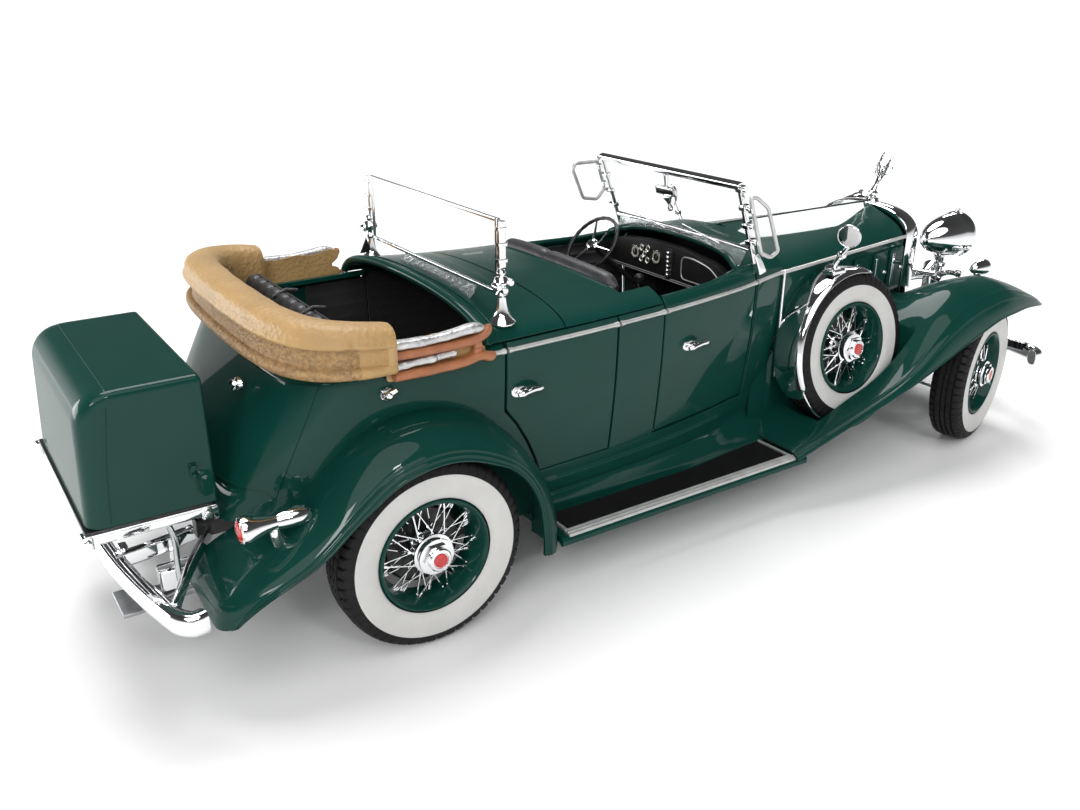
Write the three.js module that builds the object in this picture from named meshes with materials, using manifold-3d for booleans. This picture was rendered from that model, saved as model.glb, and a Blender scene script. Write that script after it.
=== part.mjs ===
// A 1:18 collector car: an open dual-cowl phaeton of the early 1930s with its top folded down.
// Millimetres. +X is the front of the car, +Y its left side, +Z up, and the tyres stand on Z = 0.
// The drawing's X = 0 is midway between the axles; the whole car is then moved so that the part's
// origin is on the ground, under the middle of its overall length and width.
import * as THREE from "three";
import { mergeVertices } from "three/addons/utils/BufferGeometryUtils.js";
import Module from "manifold-3d";

const wasm = await Module();
wasm.setup();

// ---- driving dimensions ----
const wheelbase = 210.3;
const originShift = 12.2;
const gap = 0.3;
const shutGap = 0.35;
const wall = 1.6;

const axleHeight = 23.6;
const tyreRadius = 23.6;
const tyreHalfWidth = 5.3;
const tyreSeatRadius = 14.2;
const tyreSides = 24;
const rimRadius = 13.9;
const rearTrack = 45.4;
const frontTrack = 43.4;
const kingpinY = 39.7;
const steeringArm = 11.5;
const restSteer = THREE.MathUtils.degToRad(15.6);

const spareX = 47.1;
const spareY = 34.6;
const spareHeight = 41.3;
const spareLean = THREE.MathUtils.degToRad(6.4);

const floorTop = 33.6;
const floorBottom = 32;
const beltHeight = 66;
const shutLine = 68;
const doorTopY = 29.4;
const cowlHingeX = -62;
const cowlRearX = -85.3;
const bulkheadX = -46.3;
const firewallX = 24.6;
const rearDoor = { front: -45.3, rear: -80, bottom: 30 };
const frontDoor = { front: 11, rear: -28.7, bottom: 30.5 };
const hoodFrontX = 93.5;
const hoodTopZ = 76.1;
const shellFrontX = 100.5;
const shellRearX = 94;
const railY = 17;
const railBottom = 27;
const railTop = 31.7;
const frameFront = 138;
const frameRear = -150;

const screenTop = { x: 1.2, z: 95.4 };
const screenFoot = { x: 9.8, z: 71.6 };
const tonneauPivot = { x: -77.7, z: 81.3 };
const columnRake = THREE.MathUtils.degToRad(40);

const frontAxleX = wheelbase / 2;
const rearAxleX = -wheelbase / 2;

// ---- finishes ----
function finish(color, roughness, metalness) {
  return new THREE.MeshStandardMaterial({ color, roughness, metalness });
}

const greenPaint = finish(0x123f33, 0.15, 0.1);
const chrome = finish(0xd8dadc, 0.08, 1);
const greyMetal = finish(0x8d9093, 0.4, 0.9);
const blackChassis = finish(0x141414, 0.5, 0.1);
const blackTrim = finish(0x1a1a1c, 0.6, 0);
const tyreRubber = finish(0x161616, 0.85, 0);
const clearGlass = finish(0xdfe8ec, 0.05, 0);
const tanVinyl = finish(0xbd9560, 0.7, 0);
const woodBrown = finish(0xaa6a45, 0.6, 0);
const redLens = finish(0xb3201a, 0.2, 0);

// ---- closed meshes, joins and cuts ----
const point = (x, y, z) => new THREE.Vector3(x, y, z);

function triangleVolume(position, a, b, c) {
  const [p, q, r] = [a, b, c].map((i) => new THREE.Vector3().fromBufferAttribute(position, i));
  return p.dot(q.cross(r)) / 6;
}

// Merge shared corners, drop triangles of no area and turn all the faces outward.
function closed(geometry) {
  const bare = geometry.clone();
  bare.deleteAttribute("normal");
  bare.deleteAttribute("uv");
  const merged = mergeVertices(bare, 1e-4);
  const old = merged.index.array;
  const kept = [];
  let volume = 0;
  for (let i = 0; i < old.length; i += 3) {
    const [a, b, c] = [old[i], old[i + 1], old[i + 2]];
    if (a === b || b === c || a === c) continue;
    kept.push([a, b, c]);
    volume += triangleVolume(merged.attributes.position, a, b, c);
  }
  merged.setIndex(kept.flatMap(([a, b, c]) => (volume < 0 ? [a, c, b] : [a, b, c])));
  return merged;
}

function toSolid(geometry) {
  const tidy = closed(geometry);
  return new wasm.Manifold(new wasm.Mesh({
    numProp: 3,
    vertProperties: new Float32Array(tidy.attributes.position.array),
    triVerts: new Uint32Array(tidy.index.array),
  }));
}

function toGeometry(solid) {
  const mesh = solid.getMesh();
  const geometry = new THREE.BufferGeometry();
  geometry.setAttribute("position", new THREE.BufferAttribute(mesh.vertProperties, 3));
  geometry.setIndex(new THREE.BufferAttribute(mesh.triVerts, 1));
  return geometry;
}

const join = (...pieces) => toGeometry(pieces.map(toSolid).reduce((a, b) => a.add(b)));
const cut = (piece, ...tools) => toGeometry(tools.map(toSolid).reduce((a, b) => a.subtract(b), toSolid(piece)));
const meet = (a, b) => toGeometry(toSolid(a).intersect(toSolid(b)));

// ---- shape builders ----
function flatten(ring) {
  const normal = new THREE.Vector3();
  ring.forEach((p, i) => {
    const q = ring[(i + 1) % ring.length];
    normal.x += (p.y - q.y) * (p.z + q.z);
    normal.y += (p.z - q.z) * (p.x + q.x);
    normal.z += (p.x - q.x) * (p.y + q.y);
  });
  const size = [normal.x, normal.y, normal.z].map(Math.abs);
  const drop = size.indexOf(Math.max(...size));
  return ring.map((p) => {
    const kept = [p.x, p.y, p.z].filter((_, axis) => axis !== drop);
    return new THREE.Vector2(kept[0], kept[1]);
  });
}

function addCap(index, ring, first, sameWay) {
  const flat = flatten(ring);
  const ringArea = THREE.ShapeUtils.area(flat);
  THREE.ShapeUtils.triangulateShape(flat, []).forEach(([a, b, c]) => {
    const area = THREE.ShapeUtils.area([flat[a], flat[b], flat[c]]);
    const keep = Math.sign(area) === Math.sign(ringArea) ? sameWay : !sameWay;
    index.push(first + a, first + (keep ? b : c), first + (keep ? c : b));
  });
}

// A skin over closed rings of equal point counts, capped at both ends.
function loft(rings) {
  const count = rings[0].length;
  const index = [];
  for (let r = 0; r + 1 < rings.length; r += 1) {
    for (let i = 0; i < count; i += 1) {
      const a = r * count + i;
      const b = r * count + ((i + 1) % count);
      index.push(a, b, b + count, a, b + count, a + count);
    }
  }
  addCap(index, rings[0], 0, false);
  addCap(index, rings[rings.length - 1], (rings.length - 1) * count, true);
  const geometry = new THREE.BufferGeometry();
  geometry.setAttribute("position", new THREE.Float32BufferAttribute(rings.flat().flatMap((p) => p.toArray()), 3));
  geometry.setIndex(index);
  return closed(geometry);
}

function box(x0, x1, y0, y1, z0, z1) {
  const geometry = new THREE.BoxGeometry(x1 - x0, y1 - y0, z1 - z0);
  return geometry.translate((x0 + x1) / 2, (y0 + y1) / 2, (z0 + z1) / 2);
}

function extrude(corners, depth) {
  const shape = new THREE.Shape(corners.map(([u, v]) => new THREE.Vector2(u, v)));
  return new THREE.ExtrudeGeometry(shape, { depth, bevelEnabled: false });
}

// Outlines drawn in the side view (X, Z), the plan (X, Y) and the end view (Y, Z).
function sidePlate(corners, y0, y1) {
  return extrude(corners, y1 - y0).rotateX(Math.PI / 2).translate(0, y1, 0);
}

function planPlate(corners, z0, z1) {
  return extrude(corners, z1 - z0).translate(0, 0, z0);
}

function endPlate(corners, x0, x1) {
  return extrude(corners, x1 - x0).rotateX(Math.PI / 2).rotateZ(Math.PI / 2).translate(x0, 0, 0);
}

function rod(from, to, radius, toRadius = radius, sides = 6) {
  const along = to.clone().sub(from);
  const geometry = new THREE.CylinderGeometry(toRadius, radius, along.length(), sides);
  const turn = new THREE.Quaternion().setFromUnitVectors(point(0, 1, 0), along.clone().normalize());
  return geometry.applyQuaternion(turn).translate(...from.clone().add(to).multiplyScalar(0.5).toArray());
}

function ball(centre, radius, stretch = 1) {
  return new THREE.SphereGeometry(radius, 8, 6).scale(stretch, 1, 1).translate(...centre.toArray());
}

// A body of revolution about Y; the profile lists [radius, height].
function turned(profile, segments) {
  return closed(new THREE.LatheGeometry(profile.map(([r, h]) => new THREE.Vector2(r, h)), segments));
}

// A ring of points along a sheet's upper side and back along its lower side.
function sheetRing(upper, lower) {
  return [...upper, ...lower.slice().reverse()];
}

const mirrored = (geometry, side) => closed(geometry.clone().scale(1, side, 1));
const mix = (a, b, t) => a + (b - a) * t;

// ---- body: one lofted form gives the shell, the doors, the cowls and their clearances ----
// Each station: x, half-width at the belt, half-width at the sill, bottom, belt height, crown height
const bodyStations = [
  [firewallX, 28.6, 22, 16.8, beltHeight, 75.8],
  [12, 31, 25, 16.8, beltHeight, 75.6],
  [0, 33.2, 28, 16.8, beltHeight, 74.8],
  [-15, 35.8, 31, 16.8, beltHeight, 74],
  [-30, 37.8, 33, 16.8, beltHeight, 73.8],
  [-46, 39.3, 34, 16.8, beltHeight, 73.8],
  [-62, 40.3, 34.4, 16.8, beltHeight, 74.4],
  [-85.6, 41, 34.6, 16.8, beltHeight, 76],
  [-98, 40.6, 34.6, 16.8, beltHeight, 70],
  [-115, 39.6, 34.4, 16.8, 65, 67.2],
  [-126, 37.2, 33.4, 24, 64.5, 66.6],
  [-132, 34.5, 31.5, 30, 63.5, 66],
  [-140, 32, 30.5, 33, 49, 50.5],
  [-146, 30.5, 29.5, 33, 38, 39.2],
];
const crownPower = 2.4;
const crownAngles = [12, 28, 48, 68].map(THREE.MathUtils.degToRad);
const sideLevels = [0, 0.2, 0.45, 0.72, 1];

function bodyRing([x, belt, sill, bottom, beltZ, crown]) {
  const half = sideLevels.map((t) => [mix(sill, belt, 1 - (1 - t) ** 2), mix(bottom, beltZ, t)]);
  crownAngles.forEach((angle) => {
    half.push([
      belt * Math.cos(angle) ** (2 / crownPower),
      beltZ + (crown - beltZ) * Math.sin(angle) ** (2 / crownPower),
    ]);
  });
  const right = half.map(([y, z]) => point(x, -y, z));
  const left = half.map(([y, z]) => point(x, y, z)).reverse();
  return [...right, point(x, 0, crown), ...left];
}

function bodyForm(grow) {
  return loft(bodyStations.map(([x, belt, sill, bottom, beltZ, crown], i) => {
    const end = i === 0 ? grow : i === bodyStations.length - 1 ? -grow : 0;
    return bodyRing([x + end, belt + grow, sill + grow, bottom - grow, beltZ, crown + grow]);
  }));
}

// The hollow inside the walls; the sloping tail needs a deeper inset to keep its wall.
function bodyHollow() {
  const tailInset = 3.6;
  return loft(bodyStations.map(([x, belt, sill, bottom, beltZ, crown], i) => {
    const inTail = x < -127;
    const start = i === 0 ? -2.1 : 0;
    const end = i === bodyStations.length - 1 ? 2.4 : 0;
    const down = inTail ? tailInset : wall;
    const lower = inTail ? beltZ - 2.5 : beltZ;
    return bodyRing([x + start + end, belt - wall, sill - wall, bottom - 3, lower, crown - down]);
  }));
}

const hollow = bodyHollow();
const skin = cut(
  bodyForm(0),
  meet(hollow, box(-160, bulkheadX - 0.8, -60, 60, floorTop, 90)),
  meet(hollow, box(bulkheadX + 0.8, 40, -60, 60, floorTop, 90)),
  meet(hollow, box(-160, 40, -60, 60, 0, floorBottom)),
  box(0, 40, -20, 20, 0, floorBottom),
);

const frontOpeningHalf = [[7, 0], [6.4, 22], [2, 31.2], [-14, 33.9], [-28.4, 35.8], [-28.4, 31],
  [-39.4, 31], [-41.6, 28.6], [-42, 0]];
const rearOpeningHalf = [
  [cowlRearX, 0], [cowlRearX, 39.1], [-98, 38.8], [-113, 37.6], [-121, 35], [-124.5, 30], [-125.5, 0],
];

function openingTool(half) {
  const other = half.slice(1, -1).reverse().map(([x, y]) => [x, -y]);
  return planPlate([...half, ...other], 60, 90);
}

const rearDoorOutline = [
  [rearDoor.front, rearDoor.bottom], [rearDoor.front, shutLine], [rearDoor.rear, shutLine],
  [rearDoor.rear, 50.5], [-76.6, 46.2], [-72.8, 40], [-69.6, 33.5], [-68.4, rearDoor.bottom],
];
const frontDoorOutline = [
  [frontDoor.rear, frontDoor.bottom], [frontDoor.front, frontDoor.bottom],
  [frontDoor.front, 80], [frontDoor.rear, 80],
];

// An outline drawn in all round, for what closes in an opening.
function shrink(corners, by) {
  const xs = corners.map(([x]) => x);
  const zs = corners.map(([, z]) => z);
  const middle = [(Math.min(...xs) + Math.max(...xs)) / 2, (Math.min(...zs) + Math.max(...zs)) / 2];
  const half = [(Math.max(...xs) - Math.min(...xs)) / 2, (Math.max(...zs) - Math.min(...zs)) / 2];
  return corners.map(([x, z]) => [
    middle[0] + (x - middle[0]) * (1 - by / half[0]),
    middle[1] + (z - middle[1]) * (1 - by / half[1]),
  ]);
}

const opened = cut(skin, openingTool(frontOpeningHalf), openingTool(rearOpeningHalf));
const cowlTool = box(cowlRearX - gap, cowlHingeX, -60, 60, shutLine, 90);
const axleArch = box(rearAxleX - 8, rearAxleX + 8, -60, 60, 0, floorBottom - 0.4);

// The space a door fills: its outline through the outer wall, outside the cowls' fixed top panels.
function doorSpace(outline, side, inner, clearance) {
  const through = sidePlate(outline, side > 0 ? 20 : -60, side > 0 ? 60 : -20);
  const topHalfWidth = doorTopY + clearance;
  const topPanel = box(cowlRearX, firewallX, -topHalfWidth, topHalfWidth, beltHeight - 4, 90);
  return cut(meet(through, bodyForm(1)), inner, topPanel);
}

function makeBodyShell() {
  const inner = bodyForm(-wall - gap);
  const doorTools = [1, -1].flatMap((side) => (
    [rearDoorOutline, frontDoorOutline].map((outline) => doorSpace(outline, side, inner, 0))
  ));
  return cut(opened, ...doorTools, cowlTool, axleArch);
}

function makeDoor(outline, side) {
  return meet(opened, doorSpace(shrink(outline, shutGap), side, hollow, shutGap));
}

function makeTonneauCowl() {
  const panel = meet(opened, box(cowlRearX, cowlHingeX - gap, -60, 60, shutLine + gap, 90));
  const stands = [1, -1].map((side) => sidePlate(
    [[-80.5, 71.5], [-73.5, 70.5], [-76.2, 77], [-76.2, 83.6], [-79.2, 83.6], [-79.2, 77]],
    side > 0 ? 35 : -36.8,
    side > 0 ? 36.8 : -35,
  ));
  return join(panel, ...stands);
}

// ---- hood, grille and engine ----
function hoodHalfWidth(x) {
  return mix(28.4, 18, (x - firewallX) / (hoodFrontX - firewallX));
}

function makeHoodTop(side) {
  const rings = [firewallX + gap + 0.4, 58, hoodFrontX - 0.4].map((x) => {
    const width = hoodHalfWidth(x);
    const arc = (drop) => [0, 0.3, 0.55, 0.78, 0.93, 1].map((t) => {
      const y = Math.max(0.3, t * (width - drop));
      const rise = (1 - (t * 0.999) ** crownPower) ** (1 / crownPower);
      return point(x, side * y, 67.4 + (hoodTopZ - drop - 67.4) * rise);
    });
    return sheetRing(arc(0), arc(1.1));
  });
  return loft(rings);
}

function makeHoodSide(side) {
  const rear = firewallX + gap + 0.4;
  const front = hoodFrontX - 0.4;
  const corners = [
    [rear, hoodHalfWidth(rear)], [front, hoodHalfWidth(front)],
    [front, hoodHalfWidth(front) - 1.2], [rear, hoodHalfWidth(rear) - 1.2],
  ];
  return mirrored(planPlate(corners, 46, 66.9), side);
}

function archOutline(halfWidth, bottom, shoulder, top) {
  const half = [[halfWidth, bottom], [halfWidth, shoulder], [halfWidth * 0.93, mix(shoulder, top, 0.5)],
    [halfWidth * 0.72, mix(shoulder, top, 0.82)], [halfWidth * 0.4, mix(shoulder, top, 0.97)]];
  const other = half.slice().reverse().map(([y, z]) => [-y, z]);
  return [...half, [0, top], ...other];
}

function makeRadiatorShell() {
  const outer = endPlate(archOutline(19.6, 34, 66, 75.8), shellRearX, shellFrontX);
  const inner = endPlate(archOutline(17.2, 36, 64.5, 72.6), shellRearX - 1, shellFrontX + 1);
  return cut(outer, inner);
}

function makeRadiatorCore() {
  return endPlate(archOutline(16.9, 36.3, 64.2, 72.2), shellRearX + 1, shellFrontX - 1.5);
}

function makeMascot() {
  const base = rod(point(98, 0, 76.1), point(98, 0, 78.2), 2, 1.6);
  const figure = rod(point(98, 0, 77.5), point(105.4, 0, 92.3), 0.9, 0.7);
  const wings = [1, -1].map((side) => rod(point(101, 0, 83), point(110.5, side * 3.2, 84.4), 0.9, 0.3, 6));
  return join(base, figure, ...wings);
}

function makeEngine() {
  const block = box(32, 88, -7, 7, 33, 58);
  const banks = [1, -1].map((side) => box(34, 86, -3, 3, 54, 69).rotateX(-side * 0.42));
  const placed = banks.map((bank, i) => {
    bank.computeBoundingBox();
    const centre = bank.boundingBox.getCenter(point(0, 0, 0));
    return bank.translate(0, (i === 0 ? 6.5 : -6.5) - centre.y, 60 - centre.z);
  });
  return join(block, ...placed);
}

// ---- fenders and running boards ----
// Front: x, inner [y, z], crown [y, z], edge [y, z]
const frontFenderStations = [
  [18, [30, 17.4], [40, 17.4], [49, 14.6]],
  [28, [28.5, 22.5], [38, 22.5], [50.5, 18.8]],
  [40, [27.5, 31], [37, 32], [51.6, 24.6]],
  [52, [26, 39], [37, 41.5], [52.2, 29.6]],
  [66, [24.6, 45.5], [38, 50.5], [52.6, 34.2]],
  [80, [23.6, 48.5], [38.5, 55.6], [52.8, 38.4]],
  [94, [23.4, 48.8], [38.5, 57], [52.8, 42.6]],
  [108, [24.5, 46.8], [38.5, 55.6], [52.3, 45.4]],
  [120, [26.5, 43], [38.6, 52.6], [50.5, 45.2]],
  [130, [29.5, 40.5], [39, 48.7], [48.4, 44]],
  [137, [33.5, 39.8], [40, 45.2], [46.6, 42.8]],
  [141, [38.5, 40.6], [41.4, 42.6], [44.4, 41.6]],
];

// Rear: angle about the axle from straight ahead, crown radius, edge radius, inner y, edge y
const rearFenderStations = [
  [-16, 38.6, 30.8, 35, 50.6],
  [0, 36.4, 28.6, 35, 51.6],
  [16, 34.4, 27.9, 35, 52.2],
  [36, 33, 26.9, 35, 52.6],
  [58, 33, 24.8, 35, 52.8],
  [82, 32.6, 24, 35, 52.8],
  [106, 32.4, 23.4, 35, 52.8],
  [128, 31, 23.4, 34, 52.8],
  [146, 30.6, 25, 32, 52.8],
  [160, 33.6, 27.6, 30, 52.6],
  [170, 39.5, 32.4, 28, 52],
  [177, 46, 39.5, 26, 50.5],
  [180, 51, 46, 25, 47.5],
];
const sheetSteps = [0, 0.3, 0.55, 0.78, 1];

// A quarter-round from crown to edge, carried inboard from the crown, of even thickness.
function fenderRing(inner, crown, edge, place, thickness) {
  const trace = (thin) => [
    place(inner[0], inner[1] - thin),
    ...sheetSteps.map((t) => {
      const angle = (t * Math.PI) / 2;
      const y = crown[0] + (edge[0] - thin - crown[0]) * Math.sin(angle);
      return place(y, edge[1] + (crown[1] - thin - edge[1]) * Math.cos(angle));
    }),
  ];
  return sheetRing(trace(0), trace(thickness));
}

function frontFenderForm(side, lift) {
  return loft(frontFenderStations.map(([x, inner, crown, edge]) => {
    const place = (y, z) => point(x, side * y, z);
    return fenderRing([inner[0], inner[1] + lift], [crown[0], crown[1] + lift], [edge[0] + lift, edge[1]], place, 1.2 + lift);
  }));
}

function rearFenderForm(side, lift) {
  return loft(rearFenderStations.map(([degrees, crownRadius, edgeRadius, innerY, edgeY]) => {
    const angle = THREE.MathUtils.degToRad(degrees);
    const place = (y, r) => point(rearAxleX + r * Math.cos(angle), side * y, axleHeight + r * Math.sin(angle));
    const crown = [42, crownRadius + lift];
    return fenderRing([innerY, crownRadius + lift - 0.6], crown, [edgeY + lift, edgeRadius], place, 1.2 + lift);
  }));
}

function spareSpace(grow) {
  const profile = [[0, -tyreHalfWidth - grow], [tyreRadius + grow, -tyreHalfWidth - grow],
    [tyreRadius + grow, tyreHalfWidth + grow], [0, tyreHalfWidth + grow]];
  return turned(profile, 24);
}

function placedSpare(geometry, side) {
  return geometry.rotateX(side * spareLean).translate(spareX, side * spareY, spareHeight);
}

function makeFrontFender(side) {
  const space = placedSpare(spareSpace(0.8), side);
  const hoodSpace = planPlate([[18, 31.5], [hoodFrontX, 19], [102, 19], [102, -19], [hoodFrontX, -19], [18, -31.5]], 10, 80);
  return cut(frontFenderForm(side, 0), space, hoodSpace, box(10, 70, -29.5, 29.5, 20, 60));
}

function makeRearFender(side) {
  return cut(rearFenderForm(side, 0), bodyForm(0.35));
}

function makeRunningBoard(side) {
  const corners = [[-66.6, 31], [-66.6, 48.2], [17.4, 48.2], [17.4, 31]];
  return mirrored(planPlate(corners, 12.6, 16), side);
}

// ---- chassis, axles and steering ----
function makeChassis() {
  const rails = [1, -1].map((side) => box(frameRear, frameFront, side * railY - 2, side * railY + 2, railBottom, railTop));
  const crossX = [frameFront - 3, 60, 0, -60, -136];
  const crosses = crossX.map((x) => box(x - 2, x + 2, -railY, railY, railBottom + 0.5, railTop - 0.5));
  const pads = [60, -60].map((x) => rod(point(x, 0, 13), point(x, 0, railBottom + 1), 5, 5, 12));
  const pipes = [1, -1].flatMap((side) => [
    rod(point(-40, side * 23, 18), point(-158, side * 23, 18), 1.5),
    box(-168, -157, side * 23 - 4, side * 23 + 4, 17, 19.4),
    box(-62, -58, Math.min(side * railY, side * 23.5), Math.max(side * railY, side * 23.5), 17.5, railBottom + 1),
    box(-138, -134, Math.min(side * railY, side * 23.5), Math.max(side * railY, side * 23.5), 17.5, railBottom + 1),
  ]);
  return join(...rails, ...crosses, ...pads, ...pipes);
}

function makeFrontAxle() {
  const beam = box(frontAxleX - 1.4, frontAxleX + 1.4, -33, 33, 19.5, 22.6);
  const ends = [1, -1].flatMap((side) => [
    rod(point(frontAxleX, side * 31.5, 21), point(frontAxleX, side * 38.6, axleHeight), 1.3),
    rod(point(frontAxleX, side * kingpinY, 21.9), point(frontAxleX, side * kingpinY, 25.3), 1.9, 1.9, 10),
    box(frontAxleX - 1.5, frontAxleX + 1.5, side * railY - 1.5, side * railY + 1.5, 21, railBottom - gap),
  ]);
  return join(beam, ...ends);
}

function makeRearAxle() {
  const tube = rod(point(rearAxleX, -48.5, axleHeight), point(rearAxleX, 48.5, axleHeight), 1.6, 1.6, 8);
  const housing = ball(point(rearAxleX, 0, axleHeight), 5.6, 1.1);
  const blocks = [1, -1].map((side) => (
    box(rearAxleX - 2, rearAxleX + 2, side * railY - 1.5, side * railY + 1.5, axleHeight, railBottom - gap)
  ));
  return cut(join(tube, housing, ...blocks), box(-115, -95, -12, 12, railBottom - gap, 60));
}

// Kingpin yoke, stub axle and steering arm, drawn straight ahead about the kingpin, outboard being +Y.
function makeKnuckle(side) {
  const yoke = cut(box(-2, 2, -2, 3.6, 19.8, 27.4), box(-3, 3, -3, 2.3, 21.5, 25.7));
  const stub = rod(point(0, 3, axleHeight), point(0, 6.4, axleHeight), 1.6, 1.6, 8);
  const arm = box(-steeringArm - 1.3, 0, -2.6, -1.1, 19.8, 21.2);
  return mirrored(join(yoke, stub, arm), side);
}

function makeTieRod() {
  const x = frontAxleX - steeringArm * Math.cos(restSteer);
  const y = steeringArm * Math.sin(restSteer);
  return box(x - 0.5, x + 0.9, -kingpinY - y + 1, kingpinY - y - 1, 17.6, 19.4);
}

// ---- wheels ----
function makeTyre() {
  const side = tyreHalfWidth;
  return turned([
    [tyreSeatRadius, -side + 0.7], [20.2, -side], [tyreRadius, -side + 2.3],
    [tyreRadius, side - 2.3], [20.2, side], [tyreSeatRadius, side - 0.7],
    [tyreSeatRadius, -side + 0.7],
  ], tyreSides);
}

// Rim and hub joined by laced spokes; the outboard side is +Y and the stub axle enters from -Y.
function makeWheel(bore) {
  const rim = turned([
    [12.4, -4.4], [rimRadius, -4.4], [rimRadius, 4.4], [12.6, 4.4], [11.2, 0], [12.4, -4.4],
  ], 20);
  const hub = turned([[bore, 0.4], [3.8, 0.4], [4.4, 3.2], [4.2, 7.2], [0, 7.7], [0, 5.6], [bore, 5.6], [bore, 0.4]], 10);
  const spokes = [];
  const spokeCount = 8;
  for (let i = 0; i < spokeCount; i += 1) {
    const angle = (i * 2 * Math.PI) / spokeCount;
    const from = point(3.4 * Math.cos(angle), 2.4, 3.4 * Math.sin(angle));
    const to = point(11.9 * Math.cos(angle + 0.2), 0, 11.9 * Math.sin(angle + 0.2));
    spokes.push(rod(from, to, 0.55, 0.55, 4));
  }
  return join(rim, hub, ...spokes);
}

function makeSpareWheel() {
  return turned([
    [0, -1.5], [11, -1.5], [13.2, -4.4], [20.2, -tyreHalfWidth], [tyreRadius, -tyreHalfWidth + 2.3],
    [tyreRadius, tyreHalfWidth - 2.3], [20.2, tyreHalfWidth], [14, tyreHalfWidth - 0.7],
    [11.2, 1.5], [4.2, 3], [4, 7.7], [0, 7.7],
  ], tyreSides);
}

// A bright band over the rear and top of the spare tyre, carrying a round mirror on a stem.
function makeSpareCover() {
  const inner = tyreRadius + 0.35;
  const outer = inner + 0.9;
  const arc = [];
  for (let i = 0; i <= 9; i += 1) arc.push(THREE.MathUtils.degToRad(mix(75, 205, i / 9)));
  const corners = [...arc.map((a) => [outer * Math.cos(a), outer * Math.sin(a)]),
    ...arc.slice().reverse().map((a) => [inner * Math.cos(a), inner * Math.sin(a)])];
  const band = sidePlate(corners, -3.6, 3.6);
  const foot = point(-6.4, 2, 23.8);
  const head = point(-9.5, 5.2, 32.5);
  const stem = rod(foot, head, 0.8);
  const mirror = rod(point(-10.2, 5.2, 36.4), point(-9, 5.2, 36.4), 4.1, 4.1, 14);
  return join(band, stem, rod(head, point(-9.6, 5.2, 36), 0.8), mirror);
}

// ---- seats and controls ----
function makeFrontSeat() {
  const side = [[-44.6, floorTop + gap], [-21, floorTop + gap], [-19.5, 49], [-21.5, 52.6], [-33, 52],
    [-35.4, 71], [-37.4, 72.2], [-39.8, 71.4], [-44.6, 53]];
  return sidePlate(side, -29.6, 29.6);
}

function makeRearSeat() {
  const side = [[-121, floorTop + gap], [-97, floorTop + gap], [-95.5, 50], [-97.5, 53.4], [-109, 52.8],
    [-112, 72.4], [-114, 73.6], [-117, 72.6], [-121, 54]];
  return sidePlate(side, -33, 33);
}

function makeDashboard() {
  const arch = [[-28.5, 61], [28.5, 61], [28.5, 68.2], [21, 70.8], [0, 72.4], [-21, 70.8], [-28.5, 68.2]];
  return endPlate(arch, 2.4, 5.6);
}

function makeSteeringWheel() {
  const ringRadius = 9.6;
  const rim = turned([0, 1, 2, 3, 0].map((i) => {
    const a = (i * Math.PI) / 2;
    return [ringRadius + 0.6 * Math.cos(a), 0.6 * Math.sin(a)];
  }), 16);
  const hub = rod(point(0, -1.2, 0), point(0, 0.9, 0), 1.7, 1.5, 10);
  const column = rod(point(0, -30, 0), point(0, -0.5, 0), 0.9);
  const spokes = [90, 210, 330].map((degrees) => {
    const a = THREE.MathUtils.degToRad(degrees);
    return rod(point(0, 0, 0), point(ringRadius * Math.cos(a), 0, ringRadius * Math.sin(a)), 0.4, 0.4, 6);
  });
  const wheel = join(rim, hub, column, ...spokes);
  return wheel.rotateX(Math.PI / 2).rotateY(columnRake - Math.PI / 2);
}

// ---- windshields ----
const screenAlong = point(screenTop.x - screenFoot.x, 0, screenTop.z - screenFoot.z);
const screenHeight = screenAlong.length();
const screenTilt = Math.atan2(screenFoot.x - screenTop.x, screenTop.z - screenFoot.z);

// Frames are drawn upright as [y, height] and leaned back onto their line.
function leaned(geometry) {
  return geometry.rotateY(-screenTilt).translate(screenFoot.x, 0, screenFoot.z);
}

function makeWindshieldFrame() {
  const frame = cut(
    box(-0.7, 0.7, -31.6, 31.6, 0, screenHeight),
    box(-2, 2, -30.1, 30.1, 5.9, screenHeight - 1.5),
    box(-2, 2, -30.1, 30.1, -1, 4.6),
  );
  const mirror = box(-2.4, -1, -3.6, 3.6, 17.2, 19.2);
  const stem = join(
    box(-1.8, -0.8, -0.5, 0.5, 18, screenHeight - 0.4),
    box(-1.8, 0, -0.5, 0.5, screenHeight - 1.4, screenHeight - 0.4),
  );
  const clamps = [1, -1].flatMap((side) => [7, 17].map((height) => (
    box(-0.5, 0.5, Math.min(side * 31, side * 33.1), Math.max(side * 31, side * 33.1), height, height + 1.2)
  )));
  return leaned(join(frame, mirror, stem, ...clamps));
}

function makeWindshieldGlass() {
  return leaned(box(-0.35, 0.35, -29.7, 29.7, 6.3, screenHeight - 1.9));
}

function makeWindWing(side, ahead) {
  const corners = [[0.2, 22], [4.4, 22.4], [10.6, 17.4], [10.6, 3.2], [5, 1.6], [0.2, 4.6]];
  const across = ahead ? corners : corners.map(([x, z]) => [-x, z]);
  return leaned(sidePlate(across, side > 0 ? 33.4 : -34.3, side > 0 ? 34.3 : -33.4));
}

function makeTonneauWindshield() {
  const { x } = tonneauPivot;
  return cut(
    box(x - 0.6, x + 0.6, -34.6, 34.6, 77.4, 95.6),
    box(x - 2, x + 2, -33.4, 33.4, 78.6, 94.8),
  );
}

function makeTonneauGlass() {
  const { x } = tonneauPivot;
  return box(x - 0.35, x + 0.35, -33.1, 33.1, 78.9, 94.5);
}

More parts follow.
